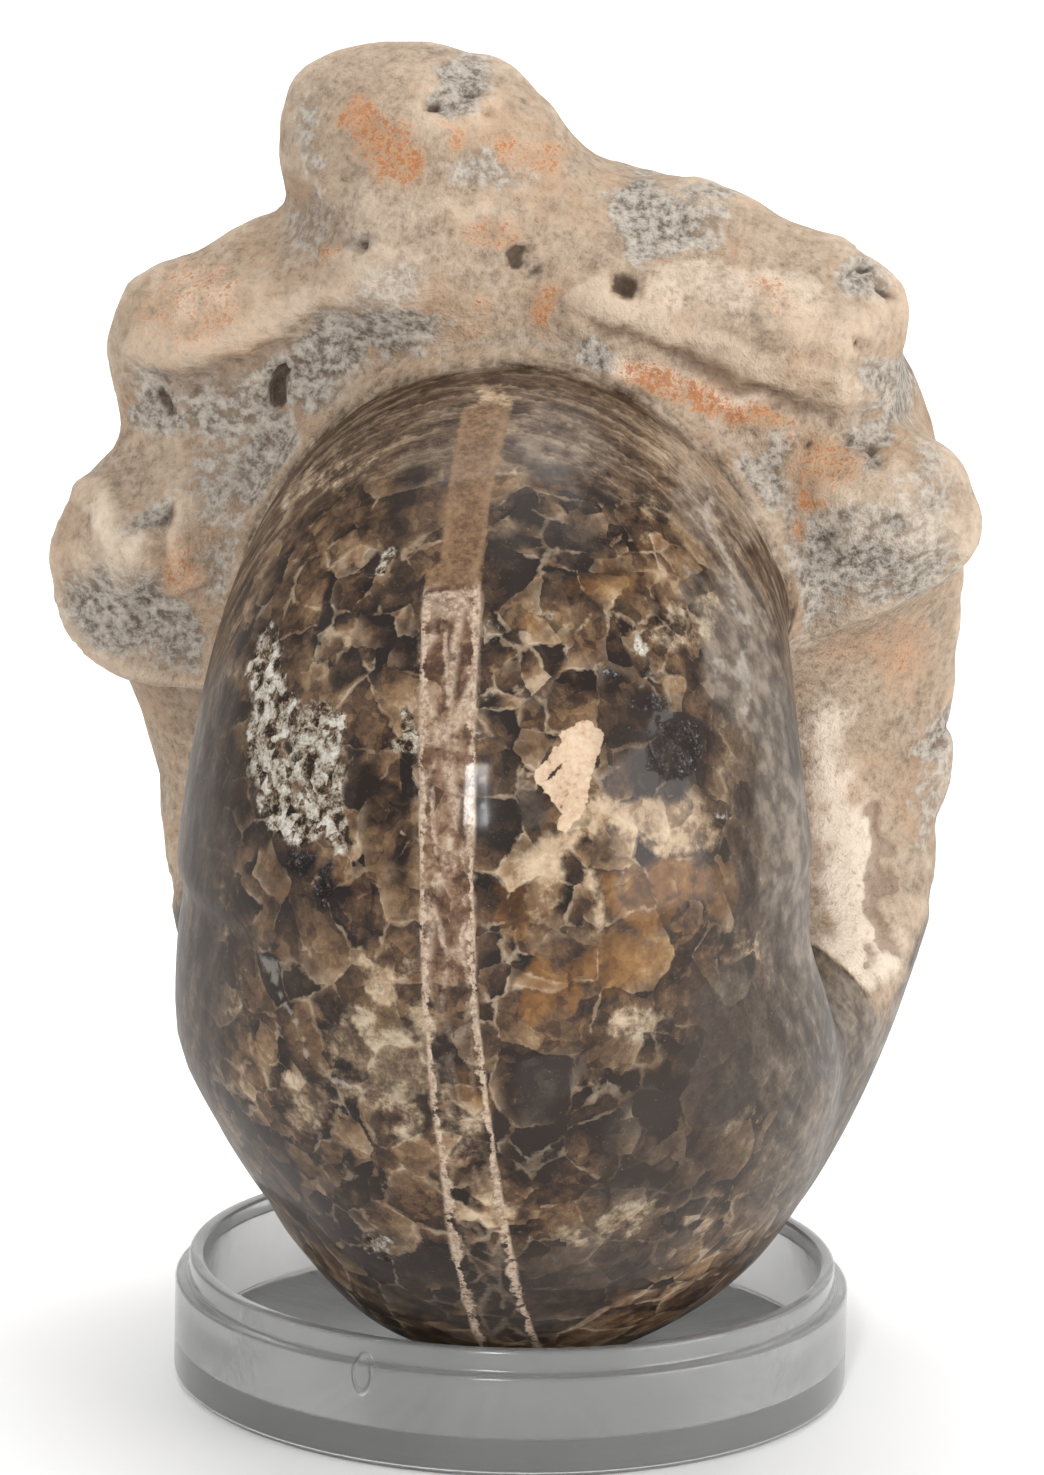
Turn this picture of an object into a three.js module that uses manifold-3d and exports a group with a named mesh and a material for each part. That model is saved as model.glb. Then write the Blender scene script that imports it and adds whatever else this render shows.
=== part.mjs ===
// An ammonite fossil standing on edge in a shallow clear dish.
//
// The shell is a flat coil seen edge-on from the front. Its inner whorls and most of its last whorl are
// smooth polished calcite. The rest of the last whorl is a pale stone cast of the living chamber, with
// ribs, rounded knobs and a lumpy end face that sits over the whorl before it.
// The dish is one moulding: a floor, a wall, and a narrower lip.
//
// Units are millimetres and +Z is up. The origin is the centre of the dish's foot. The polished front
// faces -Y, and X runs across the shell.

import * as THREE from 'three';
import { mergeVertices } from 'three/addons/utils/BufferGeometryUtils.js';
import Module from 'manifold-3d';

const wasm = await Module();
wasm.setup();

// ---------------------------------------------------------------- driving dimensions

const DISH = {
  wallRadius: 30, // outside of the wall
  lipRadius: 28.8, // outside of the narrower lip
  innerRadius: 27.5,
  height: 11.1,
  lipHeight: 2,
  floorTop: 3,
  footRadius: 29.3, // the outer edge of the face it stands on
  footChamfer: 0.7,
  sides: 60,
};

// How the fossil stands: its plane leans a little towards -X at the top.
const STANCE = { lean: 2.8, gap: 0.3, shiftX: 0.3, shiftY: -2.8 };

// The coil grows by the factor WHORL_GROWTH in each full turn. A growth angle of 0 is the top of the
// whorl under the end face, 90 the front, 180 the bottom, 270 the back and 360 the top again.
const END_RADIUS = 58.5; // from the coil's axis to the outer edge at 360 degrees
const WHORL_GROWTH = 1.43;

// The section of the whorl, in shares of its outer radius. Half widths are [growth angle, share].
const SECTION = {
  hub: 0.44, // distance from the axis to the widest point
  inner: 0.2, // distance from the axis to the inner edge
  point: 1.15, // 1 is an ellipse, more is a more pointed outer edge
  halfWidths: [
    [-720, 0.6], [0, 0.57], [90, 0.61], [150, 0.58], [180, 0.56],
    [240, 0.665], [270, 0.69], [300, 0.68], [330, 0.655], [360, 0.65],
  ],
};

// The filling of the umbilicus, the hollow in the middle of each side.
const CORE = { halfWidth: 13, radius: 10 };

const STONE_START = 240; // growth angle where the polished calcite ends and the pale cast begins
const RIM = 356; // growth angle of the last rib, which edges the end face

// Ribs of the cast, with rows of knobs: [section angle, height, half width in degrees].
const RIB = { spacing: 20, height: 1, halfLength: 6, rimHalfLength: 8 };
const KNOB_ROWS = [
  [-11, 2.4, 8], [11, 2.4, 8],
  [-32, 2, 8], [32, 2, 8],
  [-60, 1, 10], [60, 1, 10],
  [-90, 0.5, 10], [90, 0.5, 10],
];

// The last rib is worn into lumps and notches of its own: [section angle, height above the section].
const RIM_OUTLINE = [
  [-165, 0], [-150, 3.5], [-135, 5.6], [-115, 6.4], [-96, 4], [-75, -1.4], [-62, 2.8], [-52, 3.8], [-42, 2],
  [-31, 0.8], [-25, 9], [-19, 10.4], [-9, 10.4], [-2, 9], [4, 4.2], [11, 0.2], [30, 2], [41, 3.2],
  [56, 4.2], [71, -3], [90, 3.8], [130, 0],
];

// Pads that swell the end face, between points of its own plane: x across and z above the axis.
const FACE_PADS = [
  { from: [-5, 50], to: [-7, 62], height: 3, spread: 9 },
  { from: [9, 46], to: [33, 42], height: 3.5, spread: 5.5 },
  { from: [-12, 49], to: [-30, 44], height: 3.5, spread: 5.5 },
  { from: [31, 27], to: [39, 26], height: 3, spread: 6 },
  { from: [-29, 25], to: [-37, 24], height: 3, spread: 7 },
];

// Hollows that are sunk into the stone from the front: where across and above the axis, half lengths
// across, along and up, and tilt in degrees about the front-to-back direction.
const HOLLOWS = [
  { x: 4.3, z: 47.4, size: [1.7, 2, 1], tilt: 0 },
  { x: 12.9, z: 45.2, size: [1.8, 1.5, 1], tilt: 0 },
  { x: -19, z: 36.5, size: [2.2, 3.5, 2.2], tilt: 0 },
  { x: -29, z: 36, size: [2, 1.5, 1.2], tilt: 0 },
  { x: 31.5, z: -9.5, size: [1.6, 1.3, 6], tilt: -10 },
];

// ---------------------------------------------------------------- small helpers

const radians = THREE.MathUtils.degToRad;
const { lerp, clamp, smoothstep } = THREE.MathUtils;

/** A round bump: 1 at the middle, falling off with distance over about one spread. */
const bump = (distance, spread) => Math.exp(-((distance / spread) ** 2));

/** The value at x of a line through [x, y] pairs. */
function along(pairs, x) {
  const next = pairs.findIndex(([at]) => at > x);
  if (next === 0) return pairs[0][1];
  if (next < 0) return pairs.at(-1)[1];
  const [[x0, y0], [x1, y1]] = [pairs[next - 1], pairs[next]];
  return lerp(y0, y1, (x - x0) / (x1 - x0));
}

/** The distance from (x, z) to the straight stretch between two points. */
function distanceToStretch(x, z, [x0, z0], [x1, z1]) {
  const length2 = (x1 - x0) ** 2 + (z1 - z0) ** 2;
  const share = clamp(((x - x0) * (x1 - x0) + (z - z0) * (z1 - z0)) / length2, 0, 1);
  return Math.hypot(x - x0 - share * (x1 - x0), z - z0 - share * (z1 - z0));
}

// ---------------------------------------------------------------- the coil

// Section angles of a ring: close together over the outer side, wider apart on the inner side.
const RING_ANGLES = [
  ...Array.from({ length: 41 }, (_, i) => -110 + 5.5 * i),
  ...Array.from({ length: 8 }, (_, i) => 125.5 + 15.5 * i),
];

const outerRadius = (turn) => END_RADIUS * WHORL_GROWTH ** ((turn - 360) / 360);

/** How far the skin stands above the plain section, at a distance rho from the axis. */
function relief(turn, around, rho) {
  const flank = Math.abs(around);
  let height = 0;
  for (let rib = RIM - RIB.spacing; rib > STONE_START; rib -= RIB.spacing) {
    const crest = bump(radians(turn - rib) * rho, RIB.halfLength);
    const strength = smoothstep(rib, STONE_START - 10, 310) * (1 - 0.8 * smoothstep(rib, 316, RIM));
    const fade = (1 - 0.7 * smoothstep(flank, 45, 90)) * smoothstep(125 - flank, 0, 30);
    height += RIB.height * strength * crest * fade;
    for (const [row, tall, wide] of KNOB_ROWS) height += tall * strength * crest * bump(around - row, wide);
  }
  const crest = turn > RIM ? 1 : bump(radians(turn - RIM) * rho, RIB.rimHalfLength);
  return height + crest * along(RIM_OUTLINE, around);
}

/** The skin at a growth angle and a section angle: x across, and rho away from the axis. */
function sectionPoint(turn, angle) {
  const around = angle > 180 ? angle - 360 : angle;
  const radius = outerRadius(turn);
  const [s, c] = [Math.sin(radians(around)), Math.cos(radians(around))];
  const width = radius * along(SECTION.halfWidths, turn);
  const reach = c > 0 ? (1 - SECTION.hub) * c ** SECTION.point : (SECTION.hub - SECTION.inner) * c;
  const rho = radius * (SECTION.hub + reach);
  const lift = relief(turn, around, rho);
  return [width * s + lift * s, rho + lift * c];
}

/** A point of the section plane at a growth angle, about the coil's axis. */
function place(turn, x, rho) {
  return new THREE.Vector3(x, -rho * Math.sin(radians(turn)), rho * Math.cos(radians(turn)));
}

/** A closed ring of skin points at a growth angle. */
const ring = (turn, angles) => angles.map((angle) => place(turn, ...sectionPoint(turn, angle)));

/** A closed solid through rings of equal count: quads between them and a fan at each end. */
function loft(rings) {
  const count = rings[0].length;
  const middle = (points) =>
    points.reduce((sum, p) => sum.add(p), new THREE.Vector3()).divideScalar(points.length);
  const points = [...rings.flat(), middle(rings[0]), middle(rings.at(-1))];
  const last = (rings.length - 1) * count;
  const faces = [];
  for (let i = 0; i < count; i += 1) {
    const j = (i + 1) % count;
    for (let start = 0; start < last; start += count) {
      const [a, b, c, d] = [start + i, start + j, start + count + j, start + count + i];
      faces.push(a, c, b, a, d, c);
    }
    faces.push(points.length - 2, i, j);
    faces.push(points.length - 1, last + j, last + i);
  }
  const geometry = new THREE.BufferGeometry();
  geometry.setAttribute('position', new THREE.Float32BufferAttribute(points.flatMap((p) => p.toArray()), 3));
  geometry.setIndex(faces);
  return geometry;
}

/** Evenly spaced growth angles, both ends included. */
const turns = (from, to, steps) => Array.from({ length: steps + 1 }, (_, i) => lerp(from, to, i / steps));

// ---------------------------------------------------------------- the end face

// Share of the rim's outline that each ring of the face keeps, and how far it stands forward of the
// rim, in degrees of growth.
const FACE_PROFILE = [
  [0.985, 1.6], [0.95, 3.4], [0.89, 5], [0.81, 6.4], [0.72, 7.6],
  [0.62, 8.8], [0.5, 10], [0.34, 11], [0.16, 11],
];

/** How far the pads push the face forward at a point of its plane. */
function padHeight(x, z) {
  return FACE_PADS.reduce(
    (sum, { from, to, height, spread }) => sum + height * bump(distanceToStretch(x, z, from, to), spread),
    0,
  );
}

/** Rings that close the stone's front end, from the last rib in to the hub. */
function faceRings() {
  const hub = SECTION.hub * outerRadius(RIM);
  return FACE_PROFILE.map(([share, advance]) =>
    RING_ANGLES.map((angle) => {
      const [x, rho] = sectionPoint(RIM, angle);
      const point = place(RIM + advance, x * share, hub + (rho - hub) * share);
      point.y -= padHeight(point.x, point.z) * smoothstep(1 - share, 0, 0.15);
      return point;
    }),
  );
}

// ---------------------------------------------------------------- solids

/** A closed three.js geometry as a manifold solid, from its positions alone. */
function solid(geometry) {
  const bare = new THREE.BufferGeometry();
  bare.setAttribute('position', geometry.getAttribute('position').clone());
  bare.setIndex(geometry.index ? geometry.index.clone() : null);
  const merged = mergeVertices(bare, 1e-5);
  return new wasm.Manifold(
    new wasm.Mesh({
      numProp: 3,
      vertProperties: new Float32Array(merged.getAttribute('position').array),
      triVerts: new Uint32Array(merged.index.array),
    }),
  );
}

/** A manifold solid back as a three.js geometry. */
function toGeometry(manifold) {
  const mesh = manifold.getMesh();
  const geometry = new THREE.BufferGeometry();
  geometry.setAttribute('position', new THREE.BufferAttribute(mesh.vertProperties, 3));
  geometry.setIndex(new THREE.BufferAttribute(mesh.triVerts, 1));
  geometry.computeVertexNormals();
  return geometry;
}

/** The ellipsoids that hollow a shell, each centred where a line from the front meets the shell. */
function hollows(shell) {
  const skin = new THREE.Mesh(toGeometry(shell), new THREE.MeshBasicMaterial({ side: THREE.DoubleSide }));
  const front = new THREE.Raycaster();
  return HOLLOWS.map(({ x, z, size, tilt }) => {
    front.set(new THREE.Vector3(x, -200, z), new THREE.Vector3(0, 1, 0));
    const shape = new THREE.IcosahedronGeometry(1, 1);
    shape.scale(...size);
    shape.rotateY(radians(tilt));
    shape.translate(...front.intersectObject(skin)[0].point.toArray());
    return solid(shape);
  });
}

/** The whole fossil as one solid, standing in the dish. */
function makeFossil() {
  const rings = (from, to, steps) => turns(from, to, steps).map((turn) => ring(turn, RING_ANGLES));
  const core = new THREE.IcosahedronGeometry(1, 2).scale(CORE.halfWidth, CORE.radius, CORE.radius);
  // Each stretch is less than a full turn, so that none runs into itself, and no two stretches end at
  // the same place round the coil.
  const parts = [
    core,
    loft(rings(-700, -515, 14)),
    loft(rings(-515, -265, 15)),
    loft(rings(-265, 0, 16)),
    loft(rings(0, STONE_START, 22)),
    loft([...rings(STONE_START, RIM, 32), ...faceRings()]),
  ];
  const shell = parts.map(solid).reduce((sum, part) => sum.add(part));
  const carved = hollows(shell).reduce((rest, hollow) => rest.subtract(hollow), shell);
  // Joining curved skins can leave loose slivers without thickness; the fossil is the largest piece.
  const [largest] = carved.simplify(0.03).decompose().sort((a, b) => b.volume() - a.volume());
  const leaning = largest.rotate([0, -STANCE.lean, 0]);
  const lowest = leaning.boundingBox().min[2];
  return leaning.translate([STANCE.shiftX, STANCE.shiftY, DISH.floorTop + STANCE.gap - lowest]);
}

/** The dish, turned about its own axis. */
function makeDish() {
  const d = DISH;
  const profile = [
    [0, 0],
    [d.footRadius, 0],
    [d.wallRadius, d.footChamfer],
    [d.wallRadius, d.height - d.lipHeight],
    [d.lipRadius, d.height - d.lipHeight],
    [d.lipRadius, d.height],
    [d.innerRadius, d.height],
    [d.innerRadius, d.floorTop],
    [0, d.floorTop],
  ].map(([r, z]) => new THREE.Vector2(r, z));
  const turned = new THREE.LatheGeometry(profile, d.sides);
  turned.rotateX(Math.PI / 2);
  return solid(turned);
}

// ---------------------------------------------------------------- the object

const stoneMaterial = new THREE.MeshStandardMaterial({ color: 0xb89a80, roughness: 0.5, metalness: 0 });
const dishMaterial = new THREE.MeshStandardMaterial({
  color: 0xc9cdcc,
  roughness: 0.2,
  metalness: 0,
  transparent: true,
  opacity: 0.45,
});

const fossil = new THREE.Mesh(toGeometry(makeFossil()), stoneMaterial);
fossil.name = 'ammonite_fossil';

const dish = new THREE.Mesh(toGeometry(makeDish()), dishMaterial);
dish.name = 'display_dish';

const group = new THREE.Group();
group.add(fossil, dish);

export default group;
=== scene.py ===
# %% [markdown]
# # An ammonite fossil standing in a clear dish
# The shell is a flat coil seen edge-on. Its inner whorls are polished brown calcite, and the last half
# turn is a pale stone cast that curls over the top and ends in a lumpy face.
# This lesson takes a packed CAD model of it as the frame, gives it a far finer skin and real materials,
# and films it in a small studio.

import math

import bmesh
import bpy
import numpy as np
from mathutils import Matrix, Vector, noise
from mathutils.bvhtree import BVHTree


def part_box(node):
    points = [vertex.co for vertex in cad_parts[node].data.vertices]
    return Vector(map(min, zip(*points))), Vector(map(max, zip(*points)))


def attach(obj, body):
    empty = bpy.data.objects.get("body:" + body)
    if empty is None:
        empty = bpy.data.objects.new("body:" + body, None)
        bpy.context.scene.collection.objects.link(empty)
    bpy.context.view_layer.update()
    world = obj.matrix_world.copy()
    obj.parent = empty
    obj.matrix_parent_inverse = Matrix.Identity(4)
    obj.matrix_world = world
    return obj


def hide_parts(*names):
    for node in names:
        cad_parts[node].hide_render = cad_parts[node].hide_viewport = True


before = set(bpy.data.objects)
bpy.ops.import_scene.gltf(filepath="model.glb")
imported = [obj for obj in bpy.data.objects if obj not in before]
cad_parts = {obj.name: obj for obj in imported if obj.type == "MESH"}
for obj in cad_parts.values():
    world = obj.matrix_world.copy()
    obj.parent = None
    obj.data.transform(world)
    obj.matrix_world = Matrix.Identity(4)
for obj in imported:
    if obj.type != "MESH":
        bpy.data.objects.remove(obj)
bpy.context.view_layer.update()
scene = bpy.context.scene

# %% [markdown]
# ## Camera
# A wide lens close by would swell the part of the whorl that stands nearest. A long lens 0.6 m away keeps
# the egg-shaped front free of that. It looks down by about 12 degrees, from a little to the right.

# %% Camera
MM = 0.001
SENSOR_HEIGHT = 36
FOCAL_LENGTH = SENSOR_HEIGHT * 6835 / 1475  # 4.6 times the height of the frame
DISTANCE = 0.6
AZIMUTH, ELEVATION, ROLL = (math.radians(angle) for angle in (-6.5, 12.58, 1.33))


def add_object(name, data):
    made = bpy.data.objects.new(name, data)
    scene.collection.objects.link(made)
    return made


level = Vector((math.sin(AZIMUTH), math.cos(AZIMUTH), 0))
forward = level * math.cos(ELEVATION) - Vector((0, 0, math.sin(ELEVATION)))
right = forward.cross(Vector((0, 0, 1))).normalized()
target = Vector((0, 0, 58.26 * MM)) - 0.18 * MM * right
rolled = Matrix.Rotation(ROLL, 3, -forward)
axes = Matrix((rolled @ right, rolled @ right.cross(forward), -forward)).transposed()
camera = add_object("camera", bpy.data.cameras.new("camera"))
camera.data.lens, camera.data.sensor_fit, camera.data.sensor_height = FOCAL_LENGTH, "VERTICAL", SENSOR_HEIGHT
camera.matrix_world = Matrix.Translation(target - DISTANCE * forward) @ axes.to_4x4()
scene.camera = camera
print("camera at", [round(c, 3) for c in camera.matrix_world.translation])

# %% [markdown]
# ## The studio
# A plain pale floor that curves up into a backdrop, as paper does in a small photo studio. A flat floor
# would be simpler, but from the side it shows its far edge behind the fossil.

# %% Floor
FLOOR_PROFILE = [(-3, 0), (1.2, 0), (1.7, 0.15), (2, 0.6), (2.1, 2.5)]


def mesh_from(bm, name):
    """The mesh of a finished bmesh, which is freed."""
    mesh = bpy.data.meshes.new(name)
    bm.to_mesh(mesh)
    bm.free()
    return mesh


bm = bmesh.new()
profile = [bm.verts.new((-3, y, z)) for y, z in FLOOR_PROFILE]
edges = [bm.edges.new(pair) for pair in zip(profile, profile[1:])]
swept = bmesh.ops.extrude_edge_only(bm, edges=edges)["geom"]
bmesh.ops.translate(bm, vec=(6, 0, 0), verts=[v for v in swept if isinstance(v, bmesh.types.BMVert)])
bmesh.ops.recalc_face_normals(bm, faces=bm.faces)
floor = add_object("floor", mesh_from(bm, "floor"))
print("floor:", len(floor.data.polygons), "faces")

# %% [markdown]
# ## Lamps
# Polished stone shows its lamps as reflections. A point lamp would give one hard dot; big flat lamps give
# soft edges. The strongest stands low on the right, and one narrow lamp in front leaves the upright white
# highlight beside the band.

# %% Lights
MIDDLE = (0, 0, 0.06)
LAMPS = [  # name, place, aim, width, height, watts
    ("overhead", (-0.1, -0.2, 1.0), MIDDLE, 1.4, 1.4, 2.2),
    ("left", (-0.95, -0.3, 0.4), MIDDLE, 0.8, 0.8, 1.6),
    ("right", (1.0, -0.42, 0.12), MIDDLE, 0.7, 0.9, 12.6),
    ("catch light", (0.0, -0.95, 0.45), MIDDLE, 0.1, 0.24, 4.4),
    ("backdrop lamp", (0, 0.5, 1.3), (0, 1.6, 0.2), 0.8, 0.8, 24),
]
WORLD_STRENGTH = 0.42
for name, spot, aim, wide, tall, watts in LAMPS:
    lamp = bpy.data.lights.new(name, "AREA")
    lamp.shape, lamp.size, lamp.size_y, lamp.energy = "RECTANGLE", wide, tall, watts
    facing = (Vector(aim) - Vector(spot)).to_track_quat("-Z", "Y").to_matrix().to_4x4()
    add_object(name, lamp).matrix_world = Matrix.Translation(spot) @ facing
world = bpy.data.worlds.new("studio")
world.use_nodes = True
world.node_tree.nodes["Background"].inputs["Color"].default_value = (1, 1, 1, 1)
world.node_tree.nodes["Background"].inputs["Strength"].default_value = WORLD_STRENGTH
scene.world = world
scene.view_settings.view_transform = "Standard"

# %% [markdown]
# ## The coil
# A shell grows by the same factor in every turn, so each point of its skin has two numbers: its growth
# angle ("turn") and its angle round the section ("around"). Sculpting by hand would lose that order; here
# one formula places every vertex. The coil is worked in millimetres about its own axis and is leaned and
# set down in metres at the end.

# %% The coil's values, as in the CAD part
END_RADIUS, WHORL_GROWTH = 58.5, 1.43  # millimetres at the mouth, and the growth in one turn
HUB, INNER, POINT = 0.44, 0.2, 1.15  # the widest line and the inner edge in radii, and the keel's point
HALF_WIDTHS = np.array([  # growth angle, share of the radius
    (-720, 0.6), (0, 0.57), (90, 0.61), (150, 0.58), (180, 0.56),
    (240, 0.665), (270, 0.69), (300, 0.68), (330, 0.655), (360, 0.65),
])


def outer_radius(turn):
    return END_RADIUS * WHORL_GROWTH ** ((turn - 360) / 360)


print("radius, a turn apart, mm:", [round(outer_radius(t), 1) for t in (-720, -360, 0, 360)])

# %% [markdown]
# ## Ribs, knobs and the worn rim
# Ribs and knobs are rounded bumps that follow from the turn the animal had reached. Modelling each one
# apart would leave seams that a stone cast doesn't have, so they are sums of soft bell curves.

# %% Ribs, knobs and the worn rim
STONE_START, RIM, RIB_SPACING = 240, 356, 20
KNOB_ROWS = [(11, 2.4, 8), (32, 2, 8), (60, 1, 10), (90, 0.5, 10)]  # section angle, height, width
RIM_OUTLINE = np.array([  # section angle, height in millimetres
    (-165, 0), (-150, 3.5), (-135, 5.6), (-115, 6.4), (-96, 4), (-75, -1.4), (-62, 2.8), (-52, 3.8),
    (-42, 2), (-31, 0.8), (-25, 9), (-19, 10.4), (-9, 10.4), (-2, 9), (4, 4.2), (11, 0.2), (30, 2),
    (41, 3.2), (56, 4.2), (71, -3), (90, 3.8), (130, 0),
])
RIM_DENTS = np.array([
    (-145, 0), (-135, 1.2), (-125, 1.2), (-115, 0), (-105, -0.3), (-95, 0), (-87, 0.6), (-80, 0.6),
    (-75, 0), (-70, -1.2), (-65, -0.6), (-60, 0.7), (-55, 1), (-48, 0.4), (-40, -0.6), (-35, -0.6),
    (-30, -1.4), (-25, 0.6), (-18, 0.5), (-10, -0.5), (-5, -1.2), (0, -0.5), (5, 0.2), (10, -1.2),
    (15, -1.7), (20, -1.4), (25, -0.8), (30, -1), (35, -1.9), (40, -1.8), (45, 0), (50, 0.4), (55, 0),
    (60, -1.2), (65, -0.8), (70, -0.4), (75, 1.4), (80, 1.7), (85, 0), (90, -0.9), (100, 0),
])


def smoothstep(value, low, high):
    """0 below low, 1 above high and smooth between."""
    share = np.clip((value - low) / (high - low), 0, 1)
    return share * share * (3 - 2 * share)


def bump(distance, spread):
    """A round bump, 1 at the middle."""
    return np.exp(-((distance / spread) ** 2))


def rim_outline(around):
    """The worn outline of the last rib, with its corners eased."""
    near = [np.interp(around + step, *RIM_OUTLINE.T) for step in (-3, -1.5, 0, 1.5, 3)]
    return np.dot((0.1, 0.2, 0.4, 0.2, 0.1), near) + np.interp(around, *RIM_DENTS.T)


def relief(turn, around, rho):
    """How far ribs, knobs and the rim stand above the plain section."""
    flank = abs(around)
    height = np.zeros_like(turn)
    for rib in range(RIM - RIB_SPACING, STONE_START, -RIB_SPACING):
        crest = bump(np.radians(turn - rib) * rho, 6)
        strength = smoothstep(rib, 230, 310) * (1 - 0.8 * smoothstep(rib, 316, RIM))
        fade = (1 - 0.7 * smoothstep(flank, 45, 90)) * smoothstep(125 - flank, 0, 30)
        height += strength * crest * fade
        for row, tall, wide in KNOB_ROWS:
            height += tall * strength * crest * (bump(around - row, wide) + bump(around + row, wide))
    crest = np.where(turn > RIM, 1, bump(np.radians(turn - RIM) * rho, 8))
    return height + crest * rim_outline(around)


print("the rim stands out by", rim_outline(RIM_OUTLINE[:, 0]).max().round(1), "mm at most")

# %% A point of the coil


def section_point(turn, around):
    """Across and away from the axis, at a growth angle and a section angle in degrees."""
    radius = outer_radius(turn)
    s, c = np.sin(np.radians(around)), np.cos(np.radians(around))
    outward = np.where(c > 0, (1 - HUB) * abs(c) ** POINT, (HUB - INNER) * c)
    rho = radius * (HUB + outward)
    lift = relief(turn, around, rho)
    return (radius * np.interp(turn, *HALF_WIDTHS.T) + lift) * s, rho + lift * c


def place(turn, across, rho):
    """Growth angle 0 points up and 90 points to the front."""
    return np.stack([across, -rho * np.sin(np.radians(turn)), rho * np.cos(np.radians(turn))], axis=-1)


print("the keel in front, mm:", place(90, *section_point(np.array([90.0]), np.array([0.0])))[0].round(1))

# %% [markdown]
# ## Growing the tube
# The shell was laid down ring by ring at its mouth, and the extrude operator does the same: each new ring
# continues the last one. A curve with a bevel would be quicker, but it couldn't change its section.

# %% Grow a tube by extruding a ring


def grow(sides, turns):
    """A tube of rings, one for each growth angle, and the two numbers of each vertex."""
    bm = bmesh.new()
    turn_layer = bm.verts.layers.float.new("turn")
    around_layer = bm.verts.layers.float.new("around")
    for i, vert in enumerate(bmesh.ops.create_circle(bm, segments=sides, radius=1)["verts"]):
        vert[around_layer] = -180 + 360 * i / sides
        vert[turn_layer] = turns[0]
    edges = list(bm.edges)
    for turn in turns[1:]:
        grown = bmesh.ops.extrude_edge_only(bm, edges=edges)["geom"]
        for vert in (v for v in grown if isinstance(v, bmesh.types.BMVert)):
            vert[turn_layer] = turn
        edges = [e for e in grown if isinstance(e, bmesh.types.BMEdge)]
    numbers = np.array([(v[turn_layer], v[around_layer]) for v in bm.verts])
    return bm, *numbers.T


def shape_tube(bm, points):
    """Moves the tube's vertices to the points, caps its open ends and turns its faces outwards."""
    for vert, point in zip(bm.verts, points):
        vert.co = point
    bmesh.ops.holes_fill(bm, edges=[e for e in bm.edges if e.is_boundary], sides=0)
    bmesh.ops.recalc_face_normals(bm, faces=bm.faces)


calcite, turn, around = grow(140, np.arange(-720, 241, 3.0))
shape_tube(calcite, place(turn, *section_point(turn, around)))
# A ball stands for the first whorls, in the middle of the umbilicus.
bmesh.ops.create_icosphere(calcite, subdivisions=4, radius=1, matrix=Matrix.Diagonal((13, 10, 10, 1)))
print("calcite whorls:", len(calcite.verts), "vertices")

# %% [markdown]
# ## The cast's face
# The stone that filled the living chamber ends in a worn, lumpy face. Sculpted apart, it would have to be
# joined to the tube. So the tube goes on: its last rings keep a smaller and smaller share of the rim's
# outline and stand further forward, and soft pads swell the face they make.

# %% Grow the cast and its face
FACE_PROFILE = np.array([  # share of the rim's outline, degrees of growth past the rim
    (1, 0), (0.985, 1.6), (0.95, 3.4), (0.89, 5), (0.81, 6.4), (0.72, 7.6), (0.62, 8.8), (0.5, 10),
    (0.34, 11), (0.16, 11),
])
FACE_PADS = [  # start, end, height, spread
    ((-5, 50), (-7, 62), 3, 9), ((9, 46), (33, 42), 3.5, 5.5), ((-12, 49), (-30, 44), 3.5, 5.5),
    ((31, 27), (39, 26), 3, 6), ((-29, 25), (-37, 24), 3, 7),
]
FACE_SHARES = np.concatenate([np.linspace(1, 0.8, 14), np.linspace(0.77, 0.02, 26)])


def distance_to_stretch(x, z, start, end):
    """From (x, z) to the straight stretch between two points."""
    along = np.subtract(end, start)
    offset = np.stack([x - start[0], z - start[1]], axis=-1)
    share = np.clip(offset @ along / (along @ along), 0, 1)
    return np.linalg.norm(offset - share[..., None] * along, axis=-1)


face_rings = np.arange(len(FACE_SHARES))
cast, turn, around = grow(220, np.concatenate([np.arange(STONE_START, RIM, 1.0), RIM + 1 + face_rings]))
on_face = turn > RIM
share = np.where(on_face, np.interp(turn - RIM - 1, face_rings, FACE_SHARES), 1)
across, rho = section_point(np.minimum(turn, RIM), around)
hub = HUB * outer_radius(RIM)
advance = np.interp(-share, -FACE_PROFILE[:, 0], FACE_PROFILE[:, 1])
rho = np.where(on_face, hub + (rho - hub) * share, rho)
points = place(np.where(on_face, RIM + advance, turn), across * share, rho)
for start, end, height, spread in FACE_PADS:
    swell = height * bump(distance_to_stretch(points[:, 0], points[:, 2], start, end), spread)
    points[:, 1] -= swell * smoothstep(1 - share, 0, 0.15)
shape_tube(cast, points)
print("stone cast:", len(cast.verts), "vertices")

# %% [markdown]
# ## One skin
# The two stones have grown into each other. A boolean union tends to fail on tubes that run through
# themselves, so a voxel remesh joins them into one closed skin of even squares. Search trees of the two
# tubes tell, for any point of that skin, which of the stones it belongs to.

# %% Join and remesh
VOXEL = 0.69
calcite_tree, cast_tree = BVHTree.FromBMesh(calcite), BVHTree.FromBMesh(cast)
calcite.from_mesh(mesh_from(cast, "cast"))
tubes = add_object("tubes", mesh_from(calcite, "tubes"))
remesh = tubes.modifiers.new("skin", "REMESH")
remesh.mode, remesh.voxel_size = "VOXEL", VOXEL
skin = bpy.data.meshes.new_from_object(tubes.evaluated_get(bpy.context.evaluated_depsgraph_get()))
bpy.data.objects.remove(tubes)
skin.name = "ammonite"
print("skin:", len(skin.vertices), "vertices,", sum(len(p.vertices) - 2 for p in skin.polygons), "triangles")

# %% [markdown]
# ## Easing the skin
# A voxel remesh leaves faint steps, which a polish would show. Smaller voxels would cost triangles, so
# three rounds of the smooth operator take them out. The flanks are then eased in and out by up to two
# millimetres, because a worn stone no longer keeps the exact width of its shell.

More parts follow.
